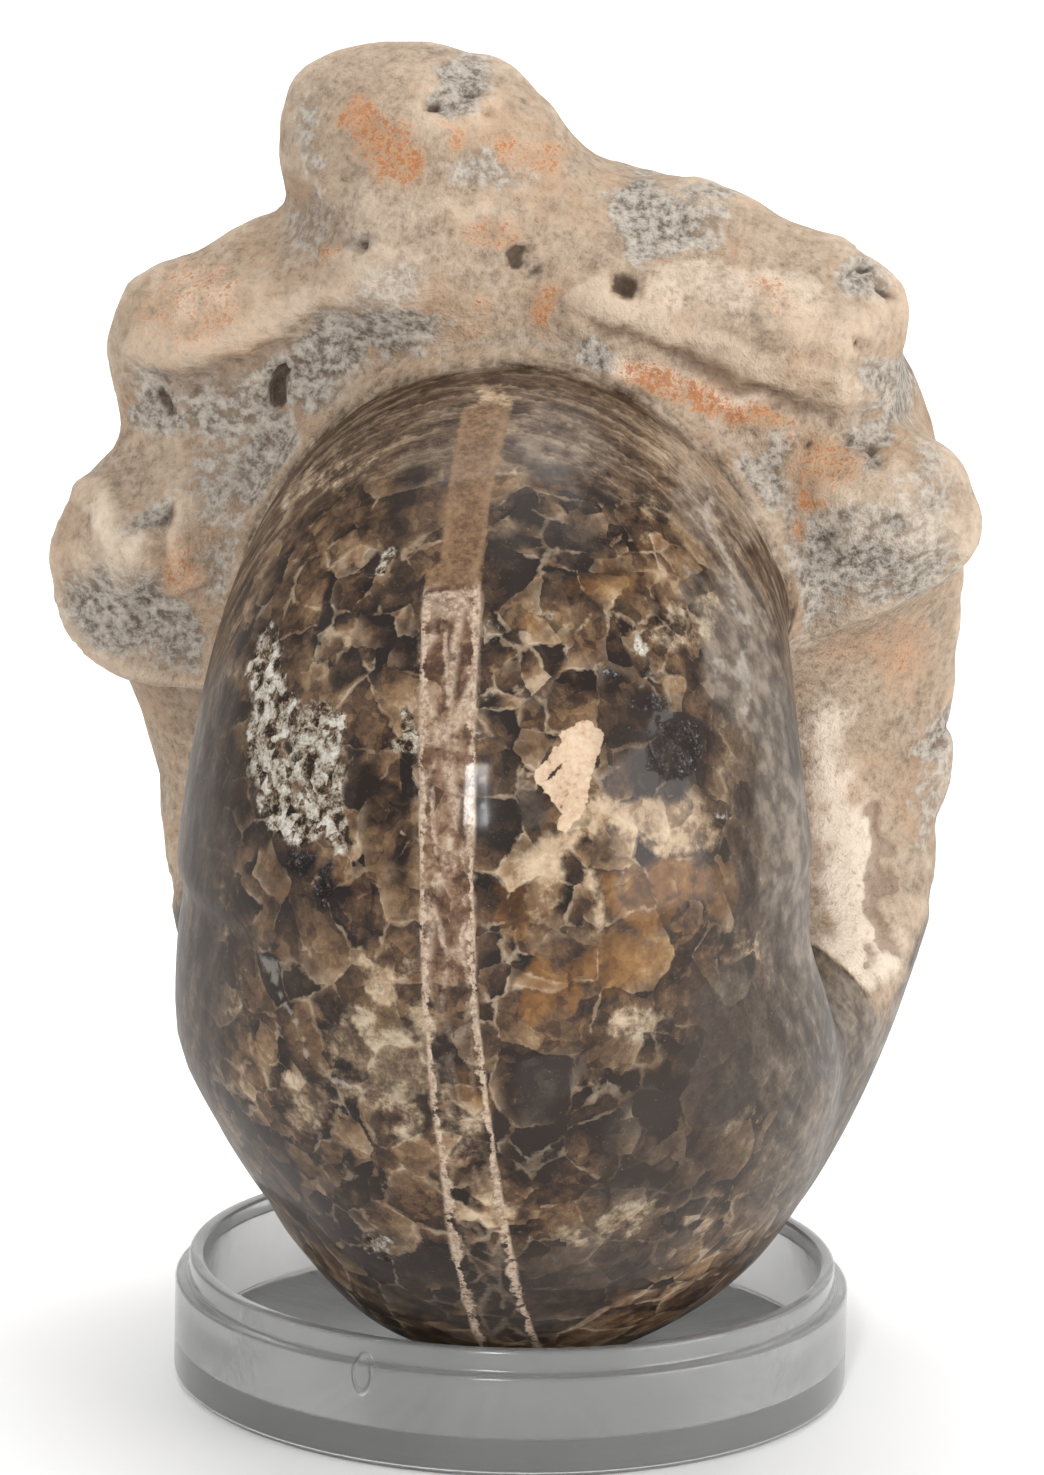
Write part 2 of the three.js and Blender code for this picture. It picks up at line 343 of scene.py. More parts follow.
# %% Ease the voxel steps
FLANK_DENTS = np.array([  # height, then how far the left and the right flank stand out
    (-49, 0.8, 0.8), (-34, 1.3, 0.8), (-31, 1.6, 0.8), (-28, 1.2, 0.8), (-23, 0.4, 0.8), (-18, -0.7, 0.7),
    (-15, -1, 0.6), (-12, -0.8, 0.2), (-7, -0.2, -0.8), (-4, 0.2, -0.7), (-1.5, 0.8, -0.5), (1, 0.5, -0.9),
    (4, 0, -1.3), (6.6, -0.8, -1.3), (9, -1.4, -1.3), (12, -2.1, -1.2), (15, -1, -1), (20, 0, 0),
])


def read_vectors(items, name):
    """One row of three numbers for each item."""
    flat = np.empty(len(items) * 3)
    items.foreach_get(name, flat)
    return flat.reshape(-1, 3)


def move_skin(points):
    skin.vertices.foreach_set("co", points.ravel())
    skin.update()


bm = bmesh.new()
bm.from_mesh(skin)
for _ in range(3):
    bmesh.ops.smooth_vert(bm, verts=bm.verts, factor=0.5, use_axis_x=True, use_axis_y=True, use_axis_z=True)
bm.to_mesh(skin)
bm.free()
co = read_vectors(skin.vertices, "co")
middle = 16 * smoothstep(co[:, 2], -4, 2)
for side, dents in ((-1, FLANK_DENTS[:, 1]), (1, FLANK_DENTS[:, 2])):
    on_flank = smoothstep(side * co[:, 0] - middle, 10, 20)
    co[:, 0] += np.interp(co[:, 2], FLANK_DENTS[:, 0], dents) * on_flank
move_skin(co)
print("box of the coil, mm:", co.min(0).round(1), co.max(0).round(1))

# %% [markdown]
# ## Coordinates of the skin
# Patterns in a fossil follow its growth. A UV map would need seams, so each vertex gets its two angles back
# from where it stands. Of the whorls that pass at its angle, it belongs to the one whose surface is
# nearest.

# %% Find each vertex's place in the coil
skin_tree = BVHTree.FromPolygons([Vector(p) for p in co], [p.vertices[:] for p in skin.polygons])


def nearest(tree, points):
    return np.array([tree.find_nearest(p)[3] for p in points.tolist()])


beyond = nearest(calcite_tree, co) - nearest(cast_tree, co)  # millimetres past the seam, into the cast
in_cast = smoothstep(beyond, -0.6, 0.6)
rho = np.hypot(co[:, 1], co[:, 2])
base_turn = np.degrees(np.arctan2(-co[:, 1], co[:, 2]))
best = np.full(len(co), np.inf)
turn, around = np.zeros(len(co)), np.zeros(len(co))
for lap in (-720, -360, 0, 360):
    guess = base_turn + lap
    radius = outer_radius(guess)
    sideways = co[:, 0] / (radius * np.interp(guess, *HALF_WIDTHS.T))
    reach = rho / radius - HUB
    outward = np.where(reach > 0, (abs(reach) / (1 - HUB)) ** (1 / POINT), reach / (HUB - INNER))
    miss = abs(np.hypot(sideways, outward) - 1)
    fits = (miss < best) & (guess < STONE_START + 20)
    best = np.where(fits, miss, best)
    turn = np.where(fits, guess, turn)
    around = np.where(fits, np.degrees(np.arctan2(sideways, outward)), around)
print("growth angles:", turn.min().round(), "to", turn.max().round())

# %% [markdown]
# ## Listed features
# Crusts, gaps, coloured crystals and stains each have their own place on the front. They could be painted
# by hand, but a list can be read and changed. Each is a "dab": a point of the front, its half sizes, a
# strength and a tilt. A ray from the front finds the skin there, and noise bends the distances, so that no
# dab keeps a round outline.

# %% Dabs and strokes


def cloud(points, size, octaves=3, shift=0.0):
    """Smooth noise from about -1 to 1, with lumps of the given size in millimetres."""
    points = (points / size + shift).tolist()
    return np.array([noise.fractal(p, 1, 2, octaves, noise_basis="PERLIN_ORIGINAL") for p in points])


warped = co + 1.7 * np.stack([cloud(co, 4.5, 4, shift) for shift in (3.1, 11.7, 23.9)], axis=-1)
layers = {}


def depth_at(x, z):
    hit = skin_tree.ray_cast(Vector((x, -200, z)), Vector((0, 1, 0)))[0]
    return hit.y if hit else 0.0


def dab(depth, x, z, wide, tall, strength=1, tilt=0):
    """Full strength at a point of the front, fading out past its half sizes."""
    c, s = math.cos(math.radians(tilt)), math.sin(math.radians(tilt))
    dx, dz = warped[:, 0] - x, warped[:, 2] - z
    away = ((dx * c + dz * s) / wide) ** 2 + ((dz * c - dx * s) / tall) ** 2
    away = np.sqrt(away + ((co[:, 1] - depth_at(x, z)) / depth) ** 2)
    return strength * (1 - smoothstep(away, 0.55, 1.3))


def dabs(places, depth=9):
    """The strongest of the dabs at each vertex."""
    return np.max([dab(depth, *spot) for spot in places], axis=0)


def strokes(paths, depth=9):
    """Lines through (x, z) points of the front: (half width, strength, points)."""
    layer = np.zeros(len(co))
    for wide, strength, points in paths:
        for start, end in zip(points, points[1:]):
            away = distance_to_stretch(warped[:, 0], warped[:, 2], start, end) / wide
            level = (depth_at(*start) + depth_at(*end)) / 2
            away = np.hypot(away, (co[:, 1] - level) / depth)
            layer = np.maximum(layer, strength * (1 - smoothstep(away, 0.3, 1.3)))
    return layer


def paint(name, *parts):
    """Adds the parts up to one layer and says how much of the skin it covers."""
    layers[name] = sum(parts)
    print(f"{name}: {(layers[name] > 0.3).mean():.2%} of the skin")


print("the front of the skin is at y, mm:", round(depth_at(0, 0), 1))

# %% Layers of the calcite: light and dark
# white and grey sugary crystals; the dab left of the band at (-4.1, 15.7) paints the sparkle of a highlight
paint("druse_and_glints", dabs([
    (-17.2, 19, 1.8, 3.6, 1, -14), (-18, 13.4, 1.7, 4.2, 1, 8), (-15.4, 17, 2.4, 2.8, 1, -20),
    (-12.4, 14, 2.1, 3.8, 1, -14), (-10.8, 9.6, 1.9, 3.6, 1, 4), (-13.4, 8.8, 2.8, 2.4, 1, 10),
    (-15.6, 11, 1.6, 2.6, 0.9, -10), (-17.4, 9.4, 1.1, 1.8, 0.8), (-6.6, 27.8, 1, 0.9, 0.9, 20),
    (-4.1, 15.7, 1.3, 1.6, 0.85), (-8.8, -30, 2, 1.8, 0.6, -25), (16, 14.8, 0.6, 1.2, 0.5),
    (20.6, 7.6, 1, 0.6, 0.6), (14.4, 21, 0.9, 1, 0.6, 20), (1.4, 15, 0.8, 1.2, 0.55),
    (6.6, 25.2, 0.8, 0.6, 0.6, 10), (21.4, -19, 1.6, 1.2, 0.4, 20), (-6.4, -5.2, 1.4, 1.6, 0.35),
]))
# open gaps and the darkest crystals, with painted glints in them
paint("gap", dabs([
    (-14.2, 13.8, 0.7, 2, 0.9, -8), (-13.6, 5, 1.3, 1.6, 0.9, 24), (-10.8, 3.4, 1, 1.8, 0.8),
    (15.6, 17, 1.2, 1.2), (17.6, 13.4, 2.6, 2.6, 1, -20), (13.2, 14.4, 0.8, 1, 0.7),
    (4.2, 31.6, 2.6, 0.6, 0.7, -20), (3, 29.4, 2, 0.5, 0.6, -20), (3.4, 22.6, 1.2, 2, 0.6),
    (2.6, 18.4, 1, 1.4, 0.6), (-5.6, 33, 1, 3, 0.45, -20), (-7, 20.6, 0.6, 1.6, 0.6),
    (11.4, 19.6, 2.4, 1.4, 0.6, 20), (9.8, -14, 0.5, 0.7, 0.9), (8.2, -18, 0.4, 0.4),
    (3.9, -18.6, 0.35, 0.3), (4.4, -13.6, 1.2, 2.4, 0.5, -20), (2, 10, 0.5, 2, 0.4),
    (-15, -6.4, 0.6, 3, 0.45, -14), (-4.6, 6.4, 1, 0.7, 0.6, 15), (-12.6, -20, 1.2, 1, 0.4),
]))
# darker stretches of the mosaic
paint("dim", dabs([
    (18, -18, 10, 13), (-15, -25, 9, 8, 0.8, 20), (2, -34, 16, 6, 0.9), (-22, 2, 4.4, 16),
    (-5, 33, 3, 6, 0.8, -14), (4.6, 31, 2, 6, 0.6, -8), (15, 14, 5, 5, 0.8), (-16, -2, 4, 8, 0.5),
    (22, 4, 4, 8, 0.5), (6, -18, 5, 6, 0.7),
]))
# milky calcite of the right flank; the dab at (7, 36) is a painted reflection, and the three lowest on the
# right paint light into a shaded groove
paint("milk_and_painted_light", dabs([
    (21.4, 20, 3, 10, 0.9, 12), (24.6, 8, 2.4, 12, 0.9, 4), (26.6, -4, 2, 8, 0.6), (7, 36, 5, 3, 0.5, -20),
    (18, 30, 2.4, 5, 0.7, 24), (7, 5.8, 1.8, 1.8, 0.6), (-20.4, 3, 0.8, 5, 0.4), (28.4, -17, 3, 5),
    (31, -21, 3, 5, 1, -20), (27, -24, 3, 6, 0.6, -20),
]))
# thin pale veins
paint("vein", strokes([
    (0.4, 0.8, [(16.4, 34.4), (17.6, 31.4), (19, 28.4), (20.2, 25), (21.4, 20), (22, 15)]),
    (0.3, 0.9, [(-17, -3), (-15.6, -7), (-13, -11), (-11, -13.6), (-9, -14.4)]),
    (0.2, 0.6, [(13.4, 21), (14.6, 22), (15.4, 21), (15, 17.4)]),
    (0.2, 0.5, [(-14.4, -14), (-12.4, -20), (-9.6, -26)]), (0.16, 0.4, [(14, -17), (9, -20.6), (4, -23.8)]),
]))

# %% Layers of the calcite: its colours
# smooth beige crystal
paint("cream", dabs([
    (9.6, 14.4, 1.7, 2.2), (8.9, 11, 1.5, 2.4, 1, 6), (7.4, 13.4, 0.6, 2.2, 0.8), (8.2, 8.8, 0.6, 1, 0.7),
]))
# soft cream crust round the orange-brown crystals
paint(
    "halo",
    strokes([(2, 1.1, [(6, 2.4), (7, 6), (10.4, 8.4), (14.4, 8.8), (17.6, 7)])]),
    dabs([
        (0.5, 38.4, 1.6, 1.6, 0.9), (10.8, 2, 0.9, 2, 0.8), (19.6, 6, 1.4, 1.4, 0.7, -30),
        (16.6, 9.4, 3, 1.2, 0.4), (-6.4, -5, 1.4, 1.8, 0.9), (0.6, -25.6, 1.6, 1.8, 0.8),
        (-3.4, 23.8, 0.9, 0.4, 0.4, 30), (6.4, 25.4, 0.9, 0.8, 0.6), (-8.6, 21.4, 1.6, 0.4, 0.5, 20),
        (21.6, -18.8, 1.6, 1.2, 0.6, 20), (7.2, -29, 1.6, 0.6, 0.5), (13, -8.4, 1.4, 1, 0.5),
        (22.6, -4.6, 0.8, 1, 0.5),
    ]),
)
# orange-brown crystals
paint("amber", dabs([
    (15.4, 2.4, 4, 3, 1.2, 10), (20.4, 1.4, 2.4, 2.6, 0.9), (4, 1.6, 1.8, 3, 0.95),
    (7.2, 1.6, 1.2, 1.6, 0.6), (7.4, -4.8, 2, 2.8), (11.6, -3.6, 3.4, 2.8, 0.8), (16.4, -3.4, 2.6, 2, 0.5),
    (7, 24.4, 1.8, 1.8, 0.35), (-9.2, 22.6, 1.6, 1.6, 0.4), (10.6, 26.4, 2.6, 1.6, 0.5, -10),
    (14.4, 29.8, 1.6, 2.8, 0.35), (0.6, 2.4, 1.8, 2, 0.4), (-2.4, -4, 2, 1.6, 0.6),
    (-14.4, 3, 1.6, 2, 0.35), (1.2, -14, 1.6, 3, 0.4),
]))
# smooth grey-brown calcite; the dabs at (7, 36) and (6, 31) paint a reflection as a grey sheen
paint("smoke_and_sheen", dabs([
    (7, 36, 4.6, 2.6, 0.9, -20), (20.6, 22, 2.4, 9, 0.9, 14), (25, 10, 2.2, 12, 0.8, 4),
    (26, -6, 3, 12, 0.8), (21, -13, 5, 8, 0.75), (14.6, -16.4, 3, 3, 0.7), (12, -30, 12, 6, 0.6, 20),
    (-23, 0, 2.4, 14, 0.6), (-18, -26, 5, 9, 0.45, 30), (6.8, -13, 2.6, 2.9, 0.8), (0, -38, 16, 5, 0.5),
    (15, -22, 7, 4.4, 0.5, 10), (7.2, 6.4, 1.9, 1.9, 0.9), (5.8, 10.6, 1.2, 1.8, 0.7),
    (7, 18, 2.4, 1.4, 0.5), (6, 31, 7, 4, 0.5),
]))
# tan patches
paint("tan", dabs([
    (-5.8, -11.6, 4, 3.4, 1.1), (-3.6, -9.6, 1.4, 4.8, 1.1, -6), (-8.8, -9, 2.6, 2.2, 0.8),
    (-9, -14, 2.4, 2, 0.6), (-5.4, -16.6, 2, 2, 0.6), (-13.4, -16, 3.6, 2.4, 0.9, -20),
    (-1.6, -16, 1, 3.4, 0.7, 8), (0.6, -17.6, 1.6, 2.6, 0.7), (12.2, -27, 2.8, 1.3, 0.9, 15),
    (14, -8.8, 2.4, 2, 0.6, 20), (-16, 31.4, 3, 1, 0.6, 35), (-12, 33.4, 3, 0.8, 0.5, 30),
    (14.4, 30, 1.4, 2.4, 0.4), (-20.6, -2, 1, 4, 0.4, -5), (17.6, 22.4, 2.2, 3, 0.5, 30),
    (-19.4, -9, 1, 3, 0.5), (10, 23.4, 1.4, 0.5, 0.5, 30), (-4, -3.2, 1.4, 1, 0.5),
]))

# %% Layers of the cast: its grain and stains
# smooth pale stone
paint("smooth", strokes([
    (3.4, 1, [(23.6, 15), (25.4, 5), (27, -5), (29.4, -16)]), (2.4, 0.45, [(15, 47), (26, 46)]),
    (2, 0.4, [(-30, 46), (-24, 47)]), (2, 0.5, [(-36, 27), (-33, 24)]), (1.6, 0.6, [(11, 40), (22, 36.4)]),
], depth=30))
# granular grey patches
paint("grey", dabs([
    (-8.6, 43.6, 4.2, 2.4, 1, 10), (-15, 42, 4.6, 2.8, 1, 30), (-20.6, 38, 4.6, 2.2, 0.9, 28),
    (-16.4, 38, 3.4, 2.4, 0.8, 35), (-30.8, 36.6, 2.8, 2.8), (-25.6, 36.4, 3.4, 2.8, 0.75),
    (-21, 32, 3.6, 5, 0.85, -30), (-25.6, 30.4, 2.6, 4, 0.6), (-24.4, 24, 2, 5, 0.5, -24),
    (-31.4, 27, 1.1, 3.4, 0.8, -35), (-34.6, 18.6, 5.6, 4.6, 1, 10), (-29.6, 15.6, 2.6, 4.4, 0.8),
    (-9.6, 47.6, 4.2, 2.4, 0.6, 10), (-16.6, 53, 2.6, 2.6, 0.6, -10), (-11.4, 51.4, 1.4, 1.2, 0.7),
    (-3.6, 63.6, 1.7, 3, 0.9, -35), (-2.6, 66, 1.8, 1, 0.7), (-5.2, 62, 1.2, 1, 0.9, 20),
    (-0.4, 57.4, 4, 1.6, 0.6, -10), (-16.6, 60, 1.4, 4, 0.5), (11.4, 53.4, 2.8, 2), (14.2, 51.6, 4, 2.4),
    (18, 54.2, 3, 1.2, 0.9, -10), (8.2, 40.6, 1.9, 2.4), (31, 48, 2.8, 2.8, 0.9), (33.4, 37, 3, 3.2, 0.9),
    (31.4, 32.6, 2, 2.2, 0.8, -40), (21.4, 30.4, 2.6, 2.6, 0.95, -20), (23.6, 32.8, 1.8, 0.9, 1, -10),
    (31.4, 24.4, 7, 3.8), (25.6, 20.4, 3.4, 3.4, 0.9), (35.6, 20.6, 4, 4, 0.7), (24, 26, 1.4, 3, 0.6),
    (36, 29, 2.4, 4, 0.5), (30.6, 20.4, 4, 2, 0.7), (36.4, 1, 2.6, 3.4, 0.8), (34, -4, 2, 6, 0.4),
], depth=14))
# orange stains
paint("rust", dabs([
    (-12, 61.6, 2.2, 2.2), (-10.2, 58.8, 2, 2.6, 0.9), (-8, 57.4, 2, 1.4, 0.9),
    (-4.2, 60, 1.2, 0.8, 1, -20), (1.3, 58.6, 1.8, 1.4, 0.8), (4, 57.6, 1.6, 1.6, 0.6),
    (-0.6, 52, 3, 1.4, 0.6), (4.4, 44.8, 1, 2.8, 0.9, -6), (-1, 46, 1, 1, 0.6),
    (13.4, 38.6, 2.8, 1.8, 1, -20), (17.4, 37, 3.6, 2.1, 1, -20), (21.4, 35.2, 3, 1.7, 1, -10),
    (26, 28.6, 1.6, 1.2), (25.4, 26, 1.3, 1.1), (27, 31.8, 4, 2.6, 0.65, -10),
    (-28.4, 23.4, 1.6, 3.6, 0.8, -10), (-26.6, 45.4, 5, 4, 0.55, 10), (-22, 42.6, 1.4, 1.4, 0.6),
    (-13.8, 50.6, 1.4, 0.8, 0.7), (23, 46, 3, 1, 0.5, -20), (-31, 42, 3, 3, 0.4), (14, 49, 1, 0.5, 0.7),
    (32, 12, 3, 4, 0.5),
], depth=14))

# %% Layers of the cast: its hollows and lobes
# hollows and holes, painted dark as painted shade
paint(
    "pit",
    dabs([
        (1.6, 50.1, 1.6, 0.9, 1.1, -20), (3.8, 49, 0.9, 0.7, 0.9, -50), (10.8, 47.9, 1.9, 1.1, 1.2, -8),
        (-20, 37.6, 1, 2, 1.6, -10), (-31, 36.2, 1.3, 0.6, 0.8), (29.8, 48.4, 1, 0.6, 0.8),
        (32.6, 45.6, 1.1, 0.7, 0.9, -20), (31.2, 42.2, 0.5, 0.5, 0.9), (25.7, 32.3, 0.7, 0.6, 0.9),
        (30.2, 33.4, 1, 0.8, 0.7, -40), (31.8, 31.6, 0.8, 0.8, 0.7, -30), (-5.6, 62, 0.9, 0.6, 0.9, 30),
        (-2.4, 64, 0.5, 0.5, 0.6), (-1.6, 62.2, 0.8, 0.4, 0.5, 40), (-11.4, 51, 0.6, 0.8, 0.7),
        (28, 24.8, 0.8, 0.5, 0.6), (33, 26.4, 0.8, 0.5, 0.6, 30), (-26.6, 37.4, 0.5, 0.4, 0.6),
        (-30.6, 27, 0.7, 2.2, 0.6, -35), (31.6, 22.4, 0.8, 0.5, 0.6), (-33, 19, 0.8, 0.6, 0.5, 20),
    ], depth=14),
    dabs([(36.8, 2.6, 1.2, 1, 0.7)], depth=30),
    strokes([(0.6, 0.35, [(-19.6, 42.4), (-22.4, 40.4), (-26, 38.6), (-31, 38)])], depth=12),
)
# soft creases between the lobes, carved in and painted darker as painted shade
paint(
    "crease",
    strokes([(0.9, 1.5, [(29.6, -4), (30.4, -9), (31.2, -15)])], depth=30),
    strokes([
        (1, 1, [(7.6, 44.2), (13.7, 42.4), (18.6, 39.4), (23.6, 37.2), (28, 35.2)]),
        (1.4, 0.7, [(-18.6, 55), (-15.4, 53), (-11.4, 51)]),
        (1.2, 0.8, [(-20, 41.4), (-25, 38.6), (-31, 37.6)]),
    ], depth=14),
)
# raised lobes and tongues
paint("ridge", strokes([
    (2.2, 1, [(-37, 29.5), (-34.4, 26), (-31.6, 21.6)]),
    (1.3, 1, [(-29.8, 28.6), (-28.4, 24.6), (-28.6, 21)]),
    (1.8, 0.9, [(-33, 41.4), (-26, 42), (-20.6, 44.6), (-14, 47)]),
    (1.8, 1, [(7, 46.2), (14, 44.2), (20, 41.4), (26, 38.8), (30, 37)]),
    (1.4, 0.6, [(22, 33.4), (26, 31), (29, 28.4)]), (1.6, 0.6, [(-13, 55.4), (-6, 54), (1, 53.6), (6, 54)]),
], depth=14))

# %% [markdown]
# ## The rest of the layers
# On the right the real cast reaches a little further than the tube of its formula. The skin's shape is
# right already, so the tube isn't bent: only the line between the colours is moved. The back has
# weathered as the front has. More dabs, listed one by one, would show their habits, so noise spreads the
# patches there.

# %% Shift the seam
FLANK_PALE_ABOVE = [(18, -16), (27.5, -16), (31, -19.5), (34, -13)]  # across, height
SHOULDER_PALE_BEYOND = [(20, 40), (26, 23), (34, 17.6), (39, 13)]  # height, across


def raise_seam(where, distance):
    """Pale stone wherever the distance is above 0, within a part of the skin."""
    return np.maximum(beyond, np.where(where, distance, -90))


pale_above = np.interp(co[:, 0], *zip(*FLANK_PALE_ABOVE))
beyond = raise_seam((co[:, 1] > 6) & (co[:, 0] > 20), co[:, 2] - pale_above)
pale_beyond = np.interp(co[:, 2], *zip(*SHOULDER_PALE_BEYOND))
beyond = raise_seam((co[:, 0] > 10) & (co[:, 2] > 20), co[:, 0] - pale_beyond)
pale = smoothstep(beyond, -0.6, 0.6)
print(f"pale stone: {pale.mean():.0%} of the skin")

# %% Patches behind, and each layer to its own stone
# The pits spread behind are painted dark as painted shade, as the pits in front are.
BEHIND = [("grey", 13, 41.3, 0.08), ("rust", 10, 57.1, 0.25), ("pit", 4, 73.9, 0.42)]
CAST_LAYERS = ("grey", "rust", "pit", "crease", "ridge", "smooth")
behind = smoothstep(co[:, 1], 16, 28)
for name, size, shift, level in BEHIND:
    spread = smoothstep(cloud(co, size, 4, shift), level, level + 0.3)
    layers[name] = np.maximum(layers[name], behind * 0.9 * spread)
for name in layers:
    layers[name] *= pale if name in CAST_LAYERS else 1 - pale
print("layers:", {name: round(float(layer.max()), 2) for name, layer in layers.items()})

# %% [markdown]
# ## The siphuncle band
# A tube once ran along the outer edge of the shell, and its filling shows as a band that wanders a little.
# A separate strip would stand off the stone. So the band is part of the skin: its offset and its length
# along the coil are kept as coordinates, and the material draws it from them.

# %% Band coordinates
BAND = np.array([  # growth angle, millimetres off the keel
    (15, 0), (28, -0.2), (48.6, -0.5), (49.6, -1.1), (67, -0.9), (97, -0.8), (116, -0.1), (150, 0.5),
    (240, 0),
])
BAND_HALF_WIDTH = np.array([
    (15, 2.3), (49, 1.9), (50, 2.35), (97, 2.2), (116, 2.4), (150, 2.6), (240, 2.4),
])
offset = (co[:, 0] - np.interp(turn, *BAND.T)) / np.interp(turn, *BAND_HALF_WIDTH.T)
along = np.radians(turn) * rho
filled = (1 - 0.75 * smoothstep(turn, 90, 99)) * smoothstep(turn, 21, 24) * (1 - in_cast) * (turn > 0)
inside = (1 - smoothstep(abs(offset), 0.85, 1.1)) * (abs(around) < 40)
print(f"band: {(inside * filled > 0.5).mean():.1%} of the skin")

# %% [markdown]
# ## Fine relief
# The worn cast is lumpy, pitted and creased, the sugary crust is rough, and the calcite is almost smooth. A
# displacement map would need an image; moving the vertices along their normals needs none. Near the seam
# the skin is blurred instead, so the stones meet softly.

# %% Blur over the skin
corners = np.empty(len(skin.edges) * 2, dtype=np.int32)
skin.edges.foreach_get("vertices", corners)
first, second = corners.reshape(-1, 2).T
neighbours = np.bincount(corners, minlength=len(co))


def blur(values, rounds):
    """Averages each vertex with its neighbours, again and again."""
    columns = values.reshape(len(values), -1)
    for _ in range(rounds):
        total = [np.bincount(first, column[second], len(co)) + np.bincount(second, column[first], len(co))
                 for column in columns.T]
        columns = 0.5 * columns + 0.5 * np.stack(total, axis=-1) / neighbours[:, None]
    return columns.reshape(values.shape)


def hollowness(rounds):
    """How far each vertex lies below the blurred skin, in millimetres."""
    return ((blur(co, rounds) - co) * read_vectors(skin.vertices, "normal")).sum(axis=1)


print("edges that meet at a vertex:", neighbours.min(), "to", neighbours.max())

# %% Fine relief
lumps = 0.4 * cloud(co, 9) + 0.2 * cloud(co, 3.6, 2, 5.3)
grain = cloud(co, 1.5, 2, 9.1)
height = in_cast * (lumps + 0.08 * grain - 0.25 * layers["grey"] * (1 + 0.8 * grain))
height += 0.7 * layers["ridge"] - 1.3 * layers["pit"] - 0.7 * layers["crease"]
height += (1 - in_cast) * 0.08 * lumps
height -= layers["druse_and_glints"] * (0.2 - 0.3 * grain)
height += 0.06 * inside * filled * (turn > 49.4)
seam = blur(in_cast, 16)
seam = smoothstep(seam, 0.02, 0.25) * smoothstep(1 - seam, 0.02, 0.25)
co = co + blur(height * (1 - seam), 1)[:, None] * read_vectors(skin.vertices, "normal")
co = co + seam[:, None] * (blur(co, 60) - co)
move_skin(co)
print("relief, mm:", height.min().round(2), "to", height.max().round(2))

# %% Fill the low grooves
# Low on the flanks the groove between the whorls is worn shallow, so it is raised to the blurred skin.
FILLED_TO_LEFT, FILLED_TO_RIGHT = 4, 20  # heights in millimetres
filled_to = np.where(co[:, 0] > 0, FILLED_TO_RIGHT, FILLED_TO_LEFT)
low_flank = smoothstep(abs(co[:, 0]), 16, 21) * smoothstep(co[:, 2], -40, -30)
low_flank = low_flank * smoothstep(filled_to - co[:, 2], -4, 4)
for _ in range(2):
    fill = blur(np.maximum(hollowness(120), 0) * low_flank, 6)
    co = co + 1.4 * fill[:, None] * read_vectors(skin.vertices, "normal")
    move_skin(co)
    print("filled by", fill.max().round(2), "mm at most")
hollow = hollowness(30)
print("hollows and ridges, mm:", np.percentile(hollow, [1, 50, 99]).round(2))

# %% Keep the layers for the material
arcs = (1 - smoothstep(turn, 26, 42)) * (turn > 0)
arcs = arcs + 0.7 * smoothstep(abs(around), 34, 56) * (1 - smoothstep(turn, 44, 66))
layers |= {
    "cast": blur(np.clip(beyond, -6, 6), 3),
    "band": inside * filled,
    "arcs": np.clip(arcs, 0, 1) * (1 - pale),
    "flank": smoothstep(abs(around), 38, 64) * (1 - pale),
    "hollow": np.clip(hollow / 0.5, -1, 1),
}
for name, values in layers.items():
    skin.attributes.new(name, "FLOAT", "POINT").data.foreach_set("value", values)
coil = np.stack([offset, along, np.radians(around) * 22], axis=-1)
skin.attributes.new("coil", "FLOAT_VECTOR", "POINT").data.foreach_set("vector", coil.ravel())
print("kept on the skin:", len(layers) + 1, "layers")

# %% [markdown]
# ## A small language for shaders
# Rock has no single colour, so its material is long. Nodes could be linked one by one, but sums and
# products are easier to read. Each value wraps one output socket, and an operator on it adds a Math node.

# %% Shader values


def math_node(operation, swapped=False):
    """An operator that adds a Math node."""

    def apply(self, other=0.0):
        return self.shop.math(operation, *((other, self) if swapped else (self, other)))

    return apply


class Value:
    """An output socket that can be added, subtracted, multiplied, divided and raised."""

    def __init__(self, shop, socket):
        self.shop, self.socket = shop, socket

    __add__ = __radd__ = math_node("ADD")
    __mul__ = __rmul__ = math_node("MULTIPLY")
    __sub__, __rsub__ = math_node("SUBTRACT"), math_node("SUBTRACT", swapped=True)
    __truediv__, __pow__, __abs__ = math_node("DIVIDE"), math_node("POWER"), math_node("ABSOLUTE")


def tone(red, green, blue):
    """A colour given as it looks on a screen, 0 to 255, as light."""
    return tuple(((c / 255 + 0.055) / 1.055) ** 2.4 for c in (red, green, blue))


print("a middle grey is", round(tone(128, 128, 128)[0], 3), "as light")

# %% A bench that makes nodes


